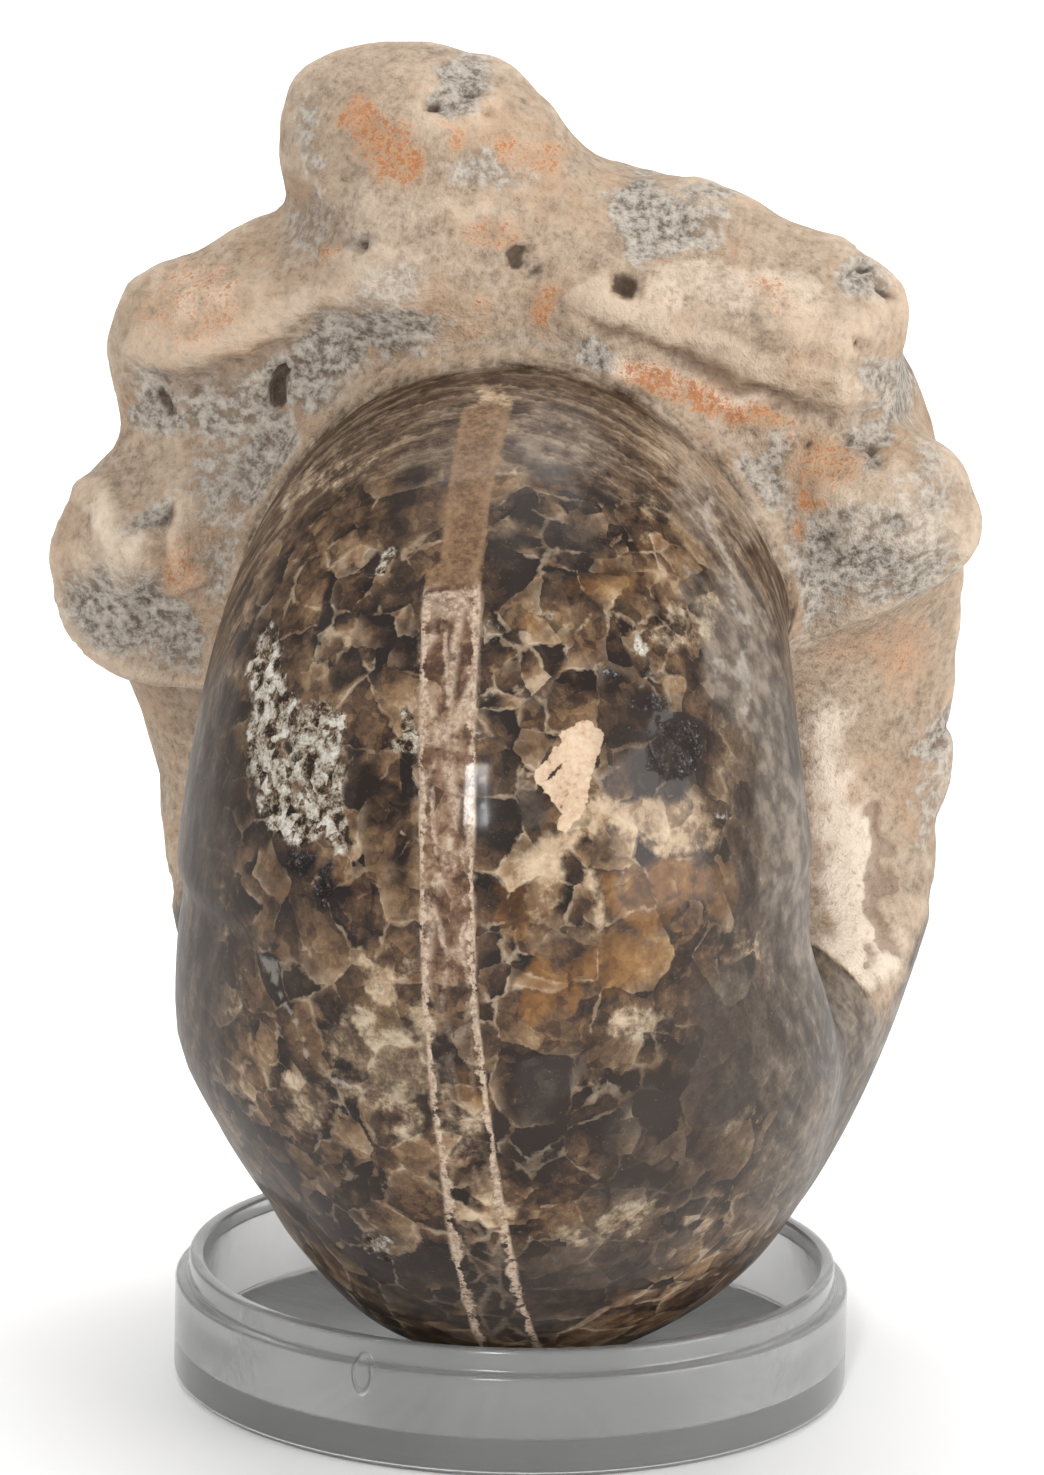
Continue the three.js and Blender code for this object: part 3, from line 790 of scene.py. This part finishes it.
class Bench:
    """Makes the nodes of one material."""

    def __init__(self, name):
        self.material = bpy.data.materials.new(name)
        self.material.use_nodes = True
        self.tree = self.material.node_tree
        self.shader = self.tree.nodes["Principled BSDF"]

    def node(self, kind, inputs, output=0, **settings):
        """The wanted output of a node, once its settings and its sockets are set."""
        made = self.tree.nodes.new("ShaderNode" + kind)
        for name, value in settings.items():
            setattr(made, name, value)
        for name, value in inputs.items():
            self.feed(made.inputs[name], value)
        return Value(self, made.outputs[output])

    def feed(self, socket, value):
        if isinstance(value, Value):
            self.tree.links.new(value.socket, socket)
        elif socket.type == "RGBA" and len(value) == 3:
            socket.default_value = (*value, 1)
        else:
            socket.default_value = value

    def dress(self, inputs):
        """Feeds the shader's own sockets."""
        for name, value in inputs.items():
            self.feed(self.shader.inputs[name], value)

    def math(self, operation, a, b=0.0):
        return self.node("Math", {0: a, 1: b}, operation=operation)

    def larger(self, a, b):
        return self.math("MAXIMUM", a, b)

    def vector(self, operation, a, b, output=0):
        return self.node("VectorMath", {0: a, 1: b}, output, operation=operation)

    def scaled(self, a, factor):
        return self.node("VectorMath", {0: a, "Scale": factor}, operation="SCALE")

    def split(self, vector):
        outputs = self.node("SeparateXYZ", {0: vector}).socket.node.outputs
        return [Value(self, socket) for socket in outputs]

    def join(self, x, y, z):
        return self.node("CombineXYZ", {0: x, 1: y, 2: z})


print("a bench offers:", [name for name in vars(Bench) if name[0] != "_"])

# %% A shop of patterns


class Shop(Bench):
    """Adds the patterns that stone and plastic are made of."""

    def millimetres(self):
        """The place on the finished object."""
        return self.scaled(self.node("TexCoord", {}, "Object"), 1000.0)

    def layer(self, name):
        """A value that is kept at each vertex."""
        return self.node("Attribute", {}, "Fac", attribute_name=name)

    def step(self, value, low, high):
        """0 below low, 1 above high and smooth between; low may be above high."""
        inputs = {"Value": value, "From Min": low, "From Max": high}
        return self.node("MapRange", inputs, interpolation_type="SMOOTHSTEP")

    def noise(self, place, size, detail=3.0, rough=0.55, output=0):
        """Noise from 0 to 1 with lumps of about size millimetres; output 1 is its colour."""
        inputs = {"Vector": place, "Scale": 1 / size, "Detail": detail, "Roughness": rough}
        return self.node("TexNoise", inputs, output)

    def cells(self, place, size, feature="F1", output=0):
        return self.node("TexVoronoi", {"Vector": place, "Scale": 1 / size}, output, feature=feature)

    def ramp(self, value, stops):
        """Colours along a value: each stop is a position and a colour as it looks on a screen."""
        made = self.node("ValToRGB", {"Fac": value})
        elements = made.socket.node.color_ramp.elements
        while len(elements) < len(stops):
            elements.new(0.5)
        for element, (position, *colour) in zip(elements, stops):
            element.position, element.color = position, (*tone(*colour), 1)
        return made

    def mix(self, factor, a, b):
        return self.node("Mix", {0: factor, 6: a, 7: b}, 2, data_type="RGBA")

    def bump(self, height):
        """A surface raised by height, in millimetres."""
        return self.node("Bump", {"Strength": 1.0, "Distance": MM, "Height": height})


print("a shop adds:", [name for name in vars(Shop) if name[0] != "_"])

# %% [markdown]
# ## Calcite and cast
# Two materials would meet at a jagged line of faces, so one covers the whole skin. What both stones share
# comes first: the place in millimetres, the same place bent by noise, the coordinates of the coil, and
# noises of several sizes.

# %% Shared patterns
stone = Shop("calcite and cast")
step, ramp, mix, layer = stone.step, stone.ramp, stone.mix, stone.layer
position = stone.millimetres()
bent = position
for size, rough, amount in ((4.5, 0.5, 2.0), (0.9, 0.6, 0.55)):
    bend = stone.vector("SUBTRACT", stone.noise(position, size, 2.0, rough, 1), (0.5, 0.5, 0.5))
    bent = stone.vector("ADD", bent, stone.scaled(bend, amount))
offset, along, across = stone.split(stone.node("Attribute", {}, "Vector", attribute_name="coil"))
coarse = stone.noise(position, 6.0, 4.0)
medium = stone.noise(position, 1.8, 4.0, 0.6)
fine = stone.noise(position, 0.5, 3.0, 0.7)
speck = stone.noise(position, 0.22, 2.0, 0.6)
coarse_sway, medium_sway, fine_sway = coarse - 0.5, medium - 0.5, fine - 0.5


def patch(name, low=0.3, high=0.5, torn=1.0):
    """A painted layer whose edge is torn by noise of two sizes."""
    edge = layer(name) + medium_sway * (1.1 * torn) + fine_sway * (0.6 * torn)
    return step(edge, low, high) * step(layer(name), 0.02, 0.25)


def coats(colour, *pairs):
    """Lays coats over a colour: each is a factor and a colour."""
    for factor, coat in pairs:
        colour = mix(factor, colour, coat if isinstance(coat, Value) else tone(*coat))
    return colour


def count_nodes():
    print("nodes so far:", len(stone.tree.nodes))


count_nodes()

# %% [markdown]
# ## Crystals
# Calcite filled the shell as blocky crystals, and the polish cuts through them. Modelled crystals would be
# lost under it; a cell pattern is enough. One facet slope for each cell paints one side lighter than the
# other as painted shading, as in a crystal that is looked into, and each cell is painted darker towards its
# border. Two sizes are mixed as in the real stone.

# %% Crystals
LARGE, SMALL, CRUMB = 5.4, 2.7, 1.1  # millimetres
# Painted shading: each cell is painted lighter on one side, most of them low down.
PAINTED_FACET_LEAN = (0.5, 0.45, 0.65)  # facets slope in all directions, but most are paler low down


def crystals(size):
    """One size of the mosaic: shade from 0 to 1 with painted shading, border distance, each cell's own
    value, the side painted as lit.
    """
    pattern = stone.cells(bent, size).socket.node
    heart, tint, centre = [Value(stone, pattern.outputs[i]) for i in (0, 1, 2)]
    pick, glow, _ = stone.split(tint)
    edge = stone.cells(bent, size, "DISTANCE_TO_EDGE") * size
    facet = stone.vector("SUBTRACT", tint, PAINTED_FACET_LEAN)
    slope = stone.vector("DOT_PRODUCT", stone.vector("SUBTRACT", bent, centre), facet, 1) * (1 / size)
    # Painted shading: the slope paints one side of the cell lighter, and the cell is painted darker towards
    # its border.
    shade = pick * 0.5 + 0.12 + slope * 0.9 - step(heart, 0.25, 0.8) * 0.1
    return shade, edge, glow, step(slope, 0.04, 0.2)


def cell_value(size):
    """A value that is the same all over a cell."""
    return stone.split(stone.cells(bent, size, "F1", 1))[0]


large, small = crystals(LARGE), crystals(SMALL)
crumb = cell_value(CRUMB)
is_small = step(stone.noise(position, 8.0, 2.0), 0.5, 0.56)
shade, edge, glow, lit = [a * (1 - is_small) + b * is_small for a, b in zip(large, small)]
shade = shade * 0.75 + small[0] * 0.25 + (crumb - 0.5) * 0.22 + medium_sway * 0.7 + fine_sway * 0.45 + 0.07
shade = shade - layer("gap") * 0.5 - layer("dim") * 0.2 + 0.03
count_nodes()

# %% [markdown]
# ## The browns
# The calcite is stained in several browns, and some of it is smoky or orange; at the top part of the smoky
# grey is a painted reflection. Colour painted over the mosaic would hide it. So a placed layer changes the
# browns that the mosaic is drawn in. The calcite's colour is called `egg`, after the shape of the front.

# %% The browns
browns = ramp(shade, [
    (0.1, 30, 22, 18), (0.3, 60, 44, 33), (0.45, 86, 65, 47), (0.6, 110, 86, 62), (0.78, 132, 107, 81),
    (0.98, 168, 146, 120),
])
olives = ramp(shade, [
    (0.1, 34, 25, 20), (0.32, 66, 50, 37), (0.52, 96, 74, 54), (0.74, 126, 103, 77), (0.98, 166, 145, 119),
])
ambers = ramp(shade * 0.75 + 0.14, [
    (0.0, 47, 29, 15), (0.2, 77, 50, 26), (0.42, 105, 72, 40), (0.65, 129, 94, 54), (0.95, 157, 124, 83),
])
smoke_and_sheen_tones = ramp(shade, [
    (0.08, 48, 41, 37), (0.3, 68, 60, 53), (0.5, 76, 67, 59), (0.7, 94, 85, 75), (0.9, 124, 114, 101),
])
amber_mask = step(layer("amber") + (glow - 0.5) * 0.7 + medium_sway * 0.5, 0.25, 0.55)
# Smoky grey-brown calcite, and at the top a painted reflection as a grey sheen.
smoke_and_sheen = step(layer("smoke_and_sheen") + coarse_sway * 0.8, 0.2, 0.75)
egg = mix(step(glow * 0.6 + coarse * 0.8, 0.66, 0.74), browns, olives)
egg = coats(egg, (smoke_and_sheen * 0.8, smoke_and_sheen_tones), (amber_mask * (0.3 + layer("amber") * 0.65), ambers))
count_nodes()

# %% [markdown]
# ## Arcs and streaks
# At the top the older whorl shows fine growth lines across the tube, and on the flanks the shell wall is
# cut at a slant and reads as grey-brown streaks. Noise in plain space would run straight through the bend
# of the whorl, so both are noise that is stretched in the coil's own coordinates.

# %% Arcs of the older whorl
arc = stone.noise(stone.join(along + medium_sway * 2.0, across * 0.12, 0.0), 1.1, 4.0, 0.7)
arcs = ramp(arc * 0.6 + medium * 0.3 + fine * 0.2, [
    (0.42, 42, 32, 26), (0.5, 68, 53, 42), (0.56, 94, 77, 62), (0.62, 126, 109, 90), (0.7, 150, 133, 112),
])
arcs_mask = step(layer("arcs") + coarse_sway * 1.2 + medium_sway * 0.5, 0.2, 0.9)
egg = mix(arcs_mask * 0.8, egg, arcs)
count_nodes()

# %% Streaks and milky calcite of the flanks, with painted light
streak = stone.noise(stone.join(along * 0.35, across * 0.9, 0.0), 1.6, 4.0, 0.6)
streaks = ramp(streak * 0.6 + fine * 0.25 + medium * 0.15, [
    (0.4, 54, 46, 40), (0.48, 72, 63, 55), (0.55, 90, 80, 70), (0.62, 116, 105, 93), (0.7, 150, 138, 123),
])
# Milky calcite, with a painted reflection at the top and painted light in a shaded groove low on the right.
milk_and_painted_light = step(layer("milk_and_painted_light") + medium_sway * 0.6 + coarse_sway * 0.6, 0.1, 1.1)
milk_and_painted_light_tone = ramp(medium, [(0.4, 104, 94, 85), (0.6, 150, 138, 124)])
egg = coats(egg, (layer("flank") * (1 - arcs_mask) * 0.8, streaks), (milk_and_painted_light * 0.65, milk_and_painted_light_tone))
count_nodes()

# %% [markdown]
# ## Tan patches and cream crust
# Some crystals are clouded with pale mineral. A dab alone would look like paint. So the clouding takes
# its light and dark partly from the mosaic below, and its edges are torn by noise.

# %% Tan patches and cream crust
tan = ramp(medium * 0.35 + fine * 0.25 + shade * 0.4, [
    (0.26, 88, 70, 54), (0.4, 132, 112, 89), (0.5, 164, 146, 121), (0.62, 188, 173, 150),
])
halo = step(layer("halo") + medium_sway * 0.9 + fine_sway * 0.4 + (shade - 0.5) * 0.3, 0.15, 1.0)
halo_tone = ramp(medium * 0.4 + fine * 0.2 + coarse * 0.2 + shade * 0.2, [
    (0.38, 130, 104, 78), (0.47, 172, 148, 119), (0.6, 196, 174, 146),
])
egg = coats(egg, (patch("tan", 0.25, 0.85) * 0.8, tan), (halo * 0.85 * (1 - amber_mask * 0.3), halo_tone))
count_nodes()

# %% [markdown]
# ## Borders between crystals
# Where two crystals meet there is a thin cream seam, or painted shade in the gap between them, and on the
# lit side of each crystal a painted highlight runs along its border. Lines made of geometry would be far too
# many and too thin. The distance to the cell's border draws them, and a noise decides whether a stretch
# gets the seam or the shade.

# %% Borders between crystals
open_stone = (1 - arcs_mask) * (1 - smoke_and_sheen * 0.7) * (1 - layer("flank") * 0.8) * (1 - layer("dim") * 0.4)
where = stone.noise(position, 3.4, 3.0, 0.7)
thick = 0.07 + step(where, 0.46, 0.66) * 0.22
border = step((edge + fine_sway * 0.3) / thick, 1.2, 0.2) * step(where, 0.42, 0.56)
# Painted shade in the gaps between crystals, and below it a painted highlight along the lit edge of each
# crystal.
shadow = step(edge, 1.3, 0.0) * step(where, 0.52, 0.38)
glare = step(edge, 0.9, 0.1) * lit * open_stone
seam_and_glare_tone = ramp(medium, [(0.4, 138, 110, 84), (0.6, 186, 168, 144)])
egg = coats(
    egg, (shadow * 0.6 * open_stone, (34, 25, 21)), (glare * 0.22, seam_and_glare_tone),
    (border * 0.45 * open_stone, seam_and_glare_tone),
)
count_nodes()

# %% [markdown]
# ## Crust, veins and gaps
# A white sugary crust, a smooth beige crystal, thin pale veins and open gaps lie over the mosaic. The gaps
# hold painted glints, and the crust's colours also paint the sparkle of a highlight beside the band. Noise
# could scatter them, but they are few and each has its own place, so they come from the layers.

# %% Crust, veins and gaps
cream = ramp(fine * 0.5 + medium * 0.5, [
    (0.36, 120, 92, 72), (0.43, 182, 154, 128), (0.55, 198, 174, 148), (0.7, 208, 188, 164),
])
sugar = cell_value(0.8)
druse_and_glints = ramp(stone.noise(position, 1.5, 4.0, 0.7) * 0.8 + (sugar - 0.5) * 0.16 + speck * 0.2, [
    (0.4, 32, 25, 21), (0.46, 90, 74, 58), (0.51, 138, 127, 112), (0.57, 176, 169, 156),
    (0.66, 208, 203, 193),
])
# The crust's mask also carries the painted sparkle of a highlight left of the band.
druse_and_glints_mask = patch("druse_and_glints", 0.32, 0.75, 1.2)
vein = step(layer("vein") * (0.5 + medium) + fine_sway * 0.8, 0.25, 0.8)
gap_edge = layer("gap") + (small[2] - 0.5) * 0.5 + medium_sway * 1.4 + fine_sway * 0.4
gap_mask = step(gap_edge, 0.55, 0.85)
# Painted glints: grey-white highlights in the dark gaps.
glints = ramp(medium * 0.35 + fine * 0.4 + speck * 0.25, [
    (0.5, 24, 19, 18), (0.57, 58, 54, 54), (0.66, 150, 150, 152),
])
egg = coats(
    egg, (patch("cream", 0.4, 0.52, 0.6) * 0.95, cream), (druse_and_glints_mask * 0.95, druse_and_glints),
    (vein * 0.45, (168, 162, 152)), (gap_mask * 0.85, glints), (layer("dim") * 0.42, (54, 44, 37)),
)
count_nodes()

# %% [markdown]
# ## The band
# The band is a strip of pinkish brown with cream borders and a net of cream cracks along it. Its upper end
# is plain brown under a cream cap. A strip of geometry would need its own edges; drawn in the coil's
# coordinates, it stays a strip on a surface that curves two ways.

# %% The band's filling
LOWER_START = 39.6  # millimetres along the coil: there the plain upper stretch ends
in_lower = step(along, 38.0, 39.5)
filling = ramp(medium * 0.3 + fine * 0.3 + shade * 0.4, [
    (0.3, 70, 49, 37), (0.42, 98, 72, 55), (0.52, 122, 96, 76), (0.64, 150, 126, 104),
])
plain = ramp(fine * 0.6 + medium * 0.4, [(0.4, 88, 64, 44), (0.6, 126, 98, 72)])
in_band = step(layer("band") + (fine_sway * 0.4 + medium_sway * 0.5) * in_lower, 0.35, 0.7)
egg = mix(in_band * 0.9, egg, mix(1 - in_lower, filling, plain))
count_nodes()

# %% The band's cream borders and cracks
keel = step(across, -12.0, -11.0) * step(across, 12.0, 11.0) * step(layer("cast"), 0.0, -2.0)
wander = medium_sway * 0.5 + fine_sway * 0.2
web = stone.cells(stone.join((offset + wander) * 2.0, along * 0.2, 7.0), 1.5, "DISTANCE_TO_EDGE") * 1.5
web = step(web + fine_sway * 0.3, 0.26, 0.04) * step(coarse * 0.4 + medium * 0.6, 0.4, 0.52)
border_width = 0.08 + step(medium * 0.5 + coarse * 0.5, 0.4, 0.62) * 0.17
border_line = step(abs(abs(offset) - 0.9 + wander) / border_width, 1.2, 0.4)
border_line = border_line * step(fine * 0.6 + medium * 0.4, 0.38, 0.46)
cap = step(abs(along - LOWER_START + wander), 0.6, 0.2)
crusts = stone.larger(border_line, stone.larger(web, cap) * layer("band") * 0.9) * keel * in_lower
crust_tone = ramp(fine, [(0.4, 142, 119, 100), (0.6, 188, 169, 149)])
soft_rims = step(abs(abs(offset) - 0.8), 0.25, 0.0) * keel * layer("band") * (1 - in_lower)
egg = coats(egg, (crusts * 0.9, crust_tone), (soft_rims * 0.2, (160, 134, 106)))
egg = coats(egg, (step(speck, 0.68, 0.76) * 0.25, (176, 160, 140)))
count_nodes()

# %% [markdown]
# ## The cast
# The cast is beige limestone under grey veils and a pinkish blush, with granular patches of salt and
# pepper, and its hollows are painted with the same grain as painted shade. Iron has left orange specks
# that crowd together in stains. Its creases and pits are painted darker as painted shade, and its convex
# ridges paler as painted light.
# One noise would look like sponge, so several are laid over each other, from veils down to fine grains.

# %% The cast's beige stone
grains = stone.noise(position, 0.9, 3.0, 0.7)
rock = ramp(medium * 0.3 + coarse * 0.25 + fine * 0.25 + grains * 0.2, [
    (0.36, 122, 106, 91), (0.43, 144, 126, 107), (0.5, 161, 142, 122), (0.58, 173, 155, 135),
    (0.68, 186, 171, 153),
])
blush = step(stone.noise(position, 7.0, 5.0, 0.65), 0.48, 0.64)
veil = step(stone.noise(position, 11.0, 6.0, 0.7), 0.46, 0.6)
veil_tone = ramp(grains, [(0.4, 128, 115, 102), (0.6, 176, 163, 148)])
even = step(layer("smooth") + medium_sway * 0.7, 0.1, 0.9)
even_tone = ramp(medium * 0.4 + fine * 0.3 + coarse * 0.3, [
    (0.36, 202, 184, 164), (0.5, 217, 201, 183), (0.64, 226, 213, 198),
])
rock = coats(rock, (blush * 0.4, (178, 144, 114)), (veil * 0.3, veil_tone), (even * 0.9, even_tone))
count_nodes()

# %% Salt and pepper, and painted shade in the hollows
hollow = layer("hollow")
# Painted shade: the hollows are painted with the grey grain.
hollow_shade = step(hollow + medium_sway * 0.6, 0.1, 0.9)
salt = ramp(grains * 0.6 + fine * 0.25 + medium * 0.25, [
    (0.42, 80, 72, 65), (0.49, 118, 110, 101), (0.55, 148, 141, 132), (0.62, 166, 159, 149),
    (0.72, 184, 177, 166),
])
grey_mask = step(layer("grey") + medium_sway * 1.5 + (grains - 0.5) * 1.2, 0.1, 0.7)
grey_mask = grey_mask * step(layer("grey"), 0.0, 0.25)
rock = mix(stone.larger(grey_mask * 0.88, hollow_shade * 0.3) * (1 - even * 0.8), rock, salt)
count_nodes()

# %% Stains, painted shade in creases and pits, and painted light on ridges
spots = step(grains * 0.35 + fine * 0.4 + speck * 0.25 + (layer("rust") - 0.6) * 0.12, 0.5, 0.56)
rust_zone = step(layer("rust") + medium_sway * 1.2 + fine_sway * 0.8, 0.0, 0.9)
rust_mask = rust_zone * (0.04 + spots * 0.85)
rust_tone = ramp(grains * 0.5 + fine * 0.5, [(0.42, 198, 132, 80), (0.58, 150, 92, 54)])
stray = spots * step(stone.noise(position, 6.0, 3.0, 0.7), 0.5, 0.64)
pepper = step(grains * 0.5 + speck * 0.5, 0.43, 0.37)
# Painted shade: the creases, their cores and the pits are painted darker.
crease = step(layer("crease") + medium_sway * 0.5, 0.2, 1.0)
core = step(layer("crease") + fine_sway * 0.5, 0.7, 1.0)
pit_mask = step(layer("pit") + fine_sway * 0.5, 0.25, 0.8)
# Painted light: the convex ridges are painted paler.
rock = coats(
    rock, (rust_zone * 0.35, (194, 154, 118)), (rust_mask * 0.85, rust_tone), (stray * 0.5, (172, 116, 78)),
    (pepper * 0.35, (108, 90, 76)), (step(hollow, -0.2, -1.0) * 0.35, (222, 202, 180)),
    (crease * 0.45, (124, 98, 78)), (core * 0.25, (92, 72, 58)), (pit_mask * 0.85, (74, 58, 47)),
)
count_nodes()

# %% [markdown]
# ## The finish of both stones
# Calcite is polished and has a clear coat; the crust, the gaps and the cast are dull. A clean line between
# the stones would look cut, so noise is added to the distance to the seam. The grain of the dull parts is
# bump, because it is finer than the skin's vertices.

# %% The finish of both
edge_noise = coarse_sway * 4.0 + (arc - 0.5) * 5.0 + medium_sway * 1.5
is_cast = step(layer("cast") + edge_noise, -3.4, 0.6)
polish = (1 - is_cast) * (1 - stone.larger(druse_and_glints_mask, gap_mask) * 0.9)
rocky = (grains - 0.5) * 0.3 + medium_sway * 0.25 + (speck - 0.5) * 0.05
stone.dress({
    "Base Color": mix(is_cast, egg, rock),
    "Roughness": 0.66 - polish * 0.16 + fine_sway * 0.2 * polish,
    "Coat Weight": polish * (0.24 - layer("flank") * 0.14) * step(along, 20.0, 40.0),
    "Coat Roughness": 0.09,
    "Specular IOR Level": 0.12,
    "Normal": stone.bump(rocky * (is_cast * 0.9 + druse_and_glints_mask * 1.2 + 0.04)),
})
skin.materials.append(stone.material)
count_nodes()

# %% [markdown]
# ## Setting the fossil down
# The fossil leans a little in its dish. The object could be turned, but a reusable part stands unturned at
# the origin, so its vertices are moved. A last squeeze keeps the fine skin within the box of the CAD solid
# that it replaces.

# %% Set it down
LEAN, SHIFT = np.radians(2.8), (0.3, -2.8)
STANDS_AT = 3.3  # the dish's floor is 3 mm thick


def shade_smooth(mesh):
    for polygon in mesh.polygons:
        polygon.use_smooth = True


turned = np.stack([
    co[:, 0] * np.cos(LEAN) - co[:, 2] * np.sin(LEAN), co[:, 1],
    co[:, 2] * np.cos(LEAN) + co[:, 0] * np.sin(LEAN),
], axis=-1)
turned += (*SHIFT, STANDS_AT - turned[:, 2].min())
low, high = np.array(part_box("ammonite_fossil")) / MM
centre = (low + high) / 2
squeeze = np.minimum(1, (high - low) / 2 / abs(turned - centre).max(0))
move_skin((centre + (turned - centre) * squeeze) * MM)
shade_smooth(skin)
ammonite = add_object("ammonite", skin)
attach(ammonite, "root")
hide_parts("ammonite_fossil")
print("squeezed to", squeeze.round(3), "of its size")

# %% [markdown]
# ## The dish
# The dish is one clear moulding. A hollowed cylinder would have hard rims, and it is the rounded rims that
# catch the light as thin bright lines. So half of its section is drawn as a line of points and spun once
# round the axis, and the bevel operator rounds its corners.

# %% Spin the dish
DISH_SECTION = [  # away from the axis and up, in millimetres
    (0, 0), (29.3, 0), (30, 0.7), (30, 9.1), (28.8, 9.1), (28.8, 11.1), (27.5, 11.1), (27.5, 3), (0, 3),
]
SHARP_ANGLE, ROUNDING = 0.6, 0.3 * MM
bm = bmesh.new()
points = [bm.verts.new((r * MM, 0, z * MM)) for r, z in DISH_SECTION]
edges = [bm.edges.new(pair) for pair in zip(points, points[1:])]
bmesh.ops.spin(
    bm, geom=points + edges, cent=(0, 0, 0), axis=(0, 0, 1), angle=2 * math.pi, steps=128, use_merge=True
)
bmesh.ops.remove_doubles(bm, verts=bm.verts, dist=1e-7)
bmesh.ops.recalc_face_normals(bm, faces=bm.faces)
sharp = [e for e in bm.edges if e.is_manifold and e.calc_face_angle() > SHARP_ANGLE]
bmesh.ops.bevel(bm, geom=sharp, offset=ROUNDING, segments=3, profile=0.5, affect="EDGES", material=-1)
dish = add_object("dish", mesh_from(bm, "dish"))
shade_smooth(dish.data)
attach(dish, "root")
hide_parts("display_dish")
print("dish:", len(dish.data.vertices), "vertices")

# %% [markdown]
# ## Clear plastic
# The plastic lets light through, bends it and takes a little of it away as grey-green. Alpha would be
# quicker, but it bends nothing. Haze and fine rubbing scratches change the roughness, and the small oval
# mark of the mould also changes the surface.

# %% Clear plastic
plastic = Shop("clear plastic")
place_mm = plastic.millimetres()
haze = plastic.noise(place_mm, 9.0, 4.0)
rub = plastic.noise(place_mm, 0.7, 3.0, 0.7)
x, y, z = plastic.split(place_mm)
mark = ((x + 9.4) / 0.95) ** 2.0 + ((z - 8.2) / 1.8) ** 2.0 + ((y + 28.5) / 3.0) ** 2.0
mark = plastic.math("SQRT", mark)  # 1 on an oval at the front of the wall
mark_ring = plastic.step(abs(mark - 0.85), 0.25, 0.0)
mark_face = plastic.step(mark, 1.05, 0.85)
plastic.dress({
    "Base Color": plastic.ramp(haze, [(0.3, 232, 233, 232), (0.7, 243, 243, 242)]),
    "Roughness": 0.1 + haze * 0.14 + (rub - 0.5) * 0.08 + mark_face * 0.5,
    "Transmission Weight": 0.85,
    "IOR": 1.49,
    "Normal": plastic.bump((rub - 0.5) * 0.01 + (haze - 0.5) * 0.12 + mark_ring * 0.25),
})
absorb = plastic.node("VolumeAbsorption", {"Color": tone(150, 156, 154), "Density": 6.0})
plastic.feed(plastic.tree.nodes["Material Output"].inputs["Volume"], absorb)
dish.data.materials.append(plastic.material)
print("clear plastic:", len(plastic.tree.nodes), "nodes")

# %% A plain pale floor
# Dull white studio paper: a glossy floor would mirror the dish.
paper = Shop("pale paper")
paper.dress({"Base Color": (0.92, 0.92, 0.92, 1), "Roughness": 0.8})
floor.data.materials.append(paper.material)
print("floor material:", floor.data.materials[0].name)

# %% [markdown]
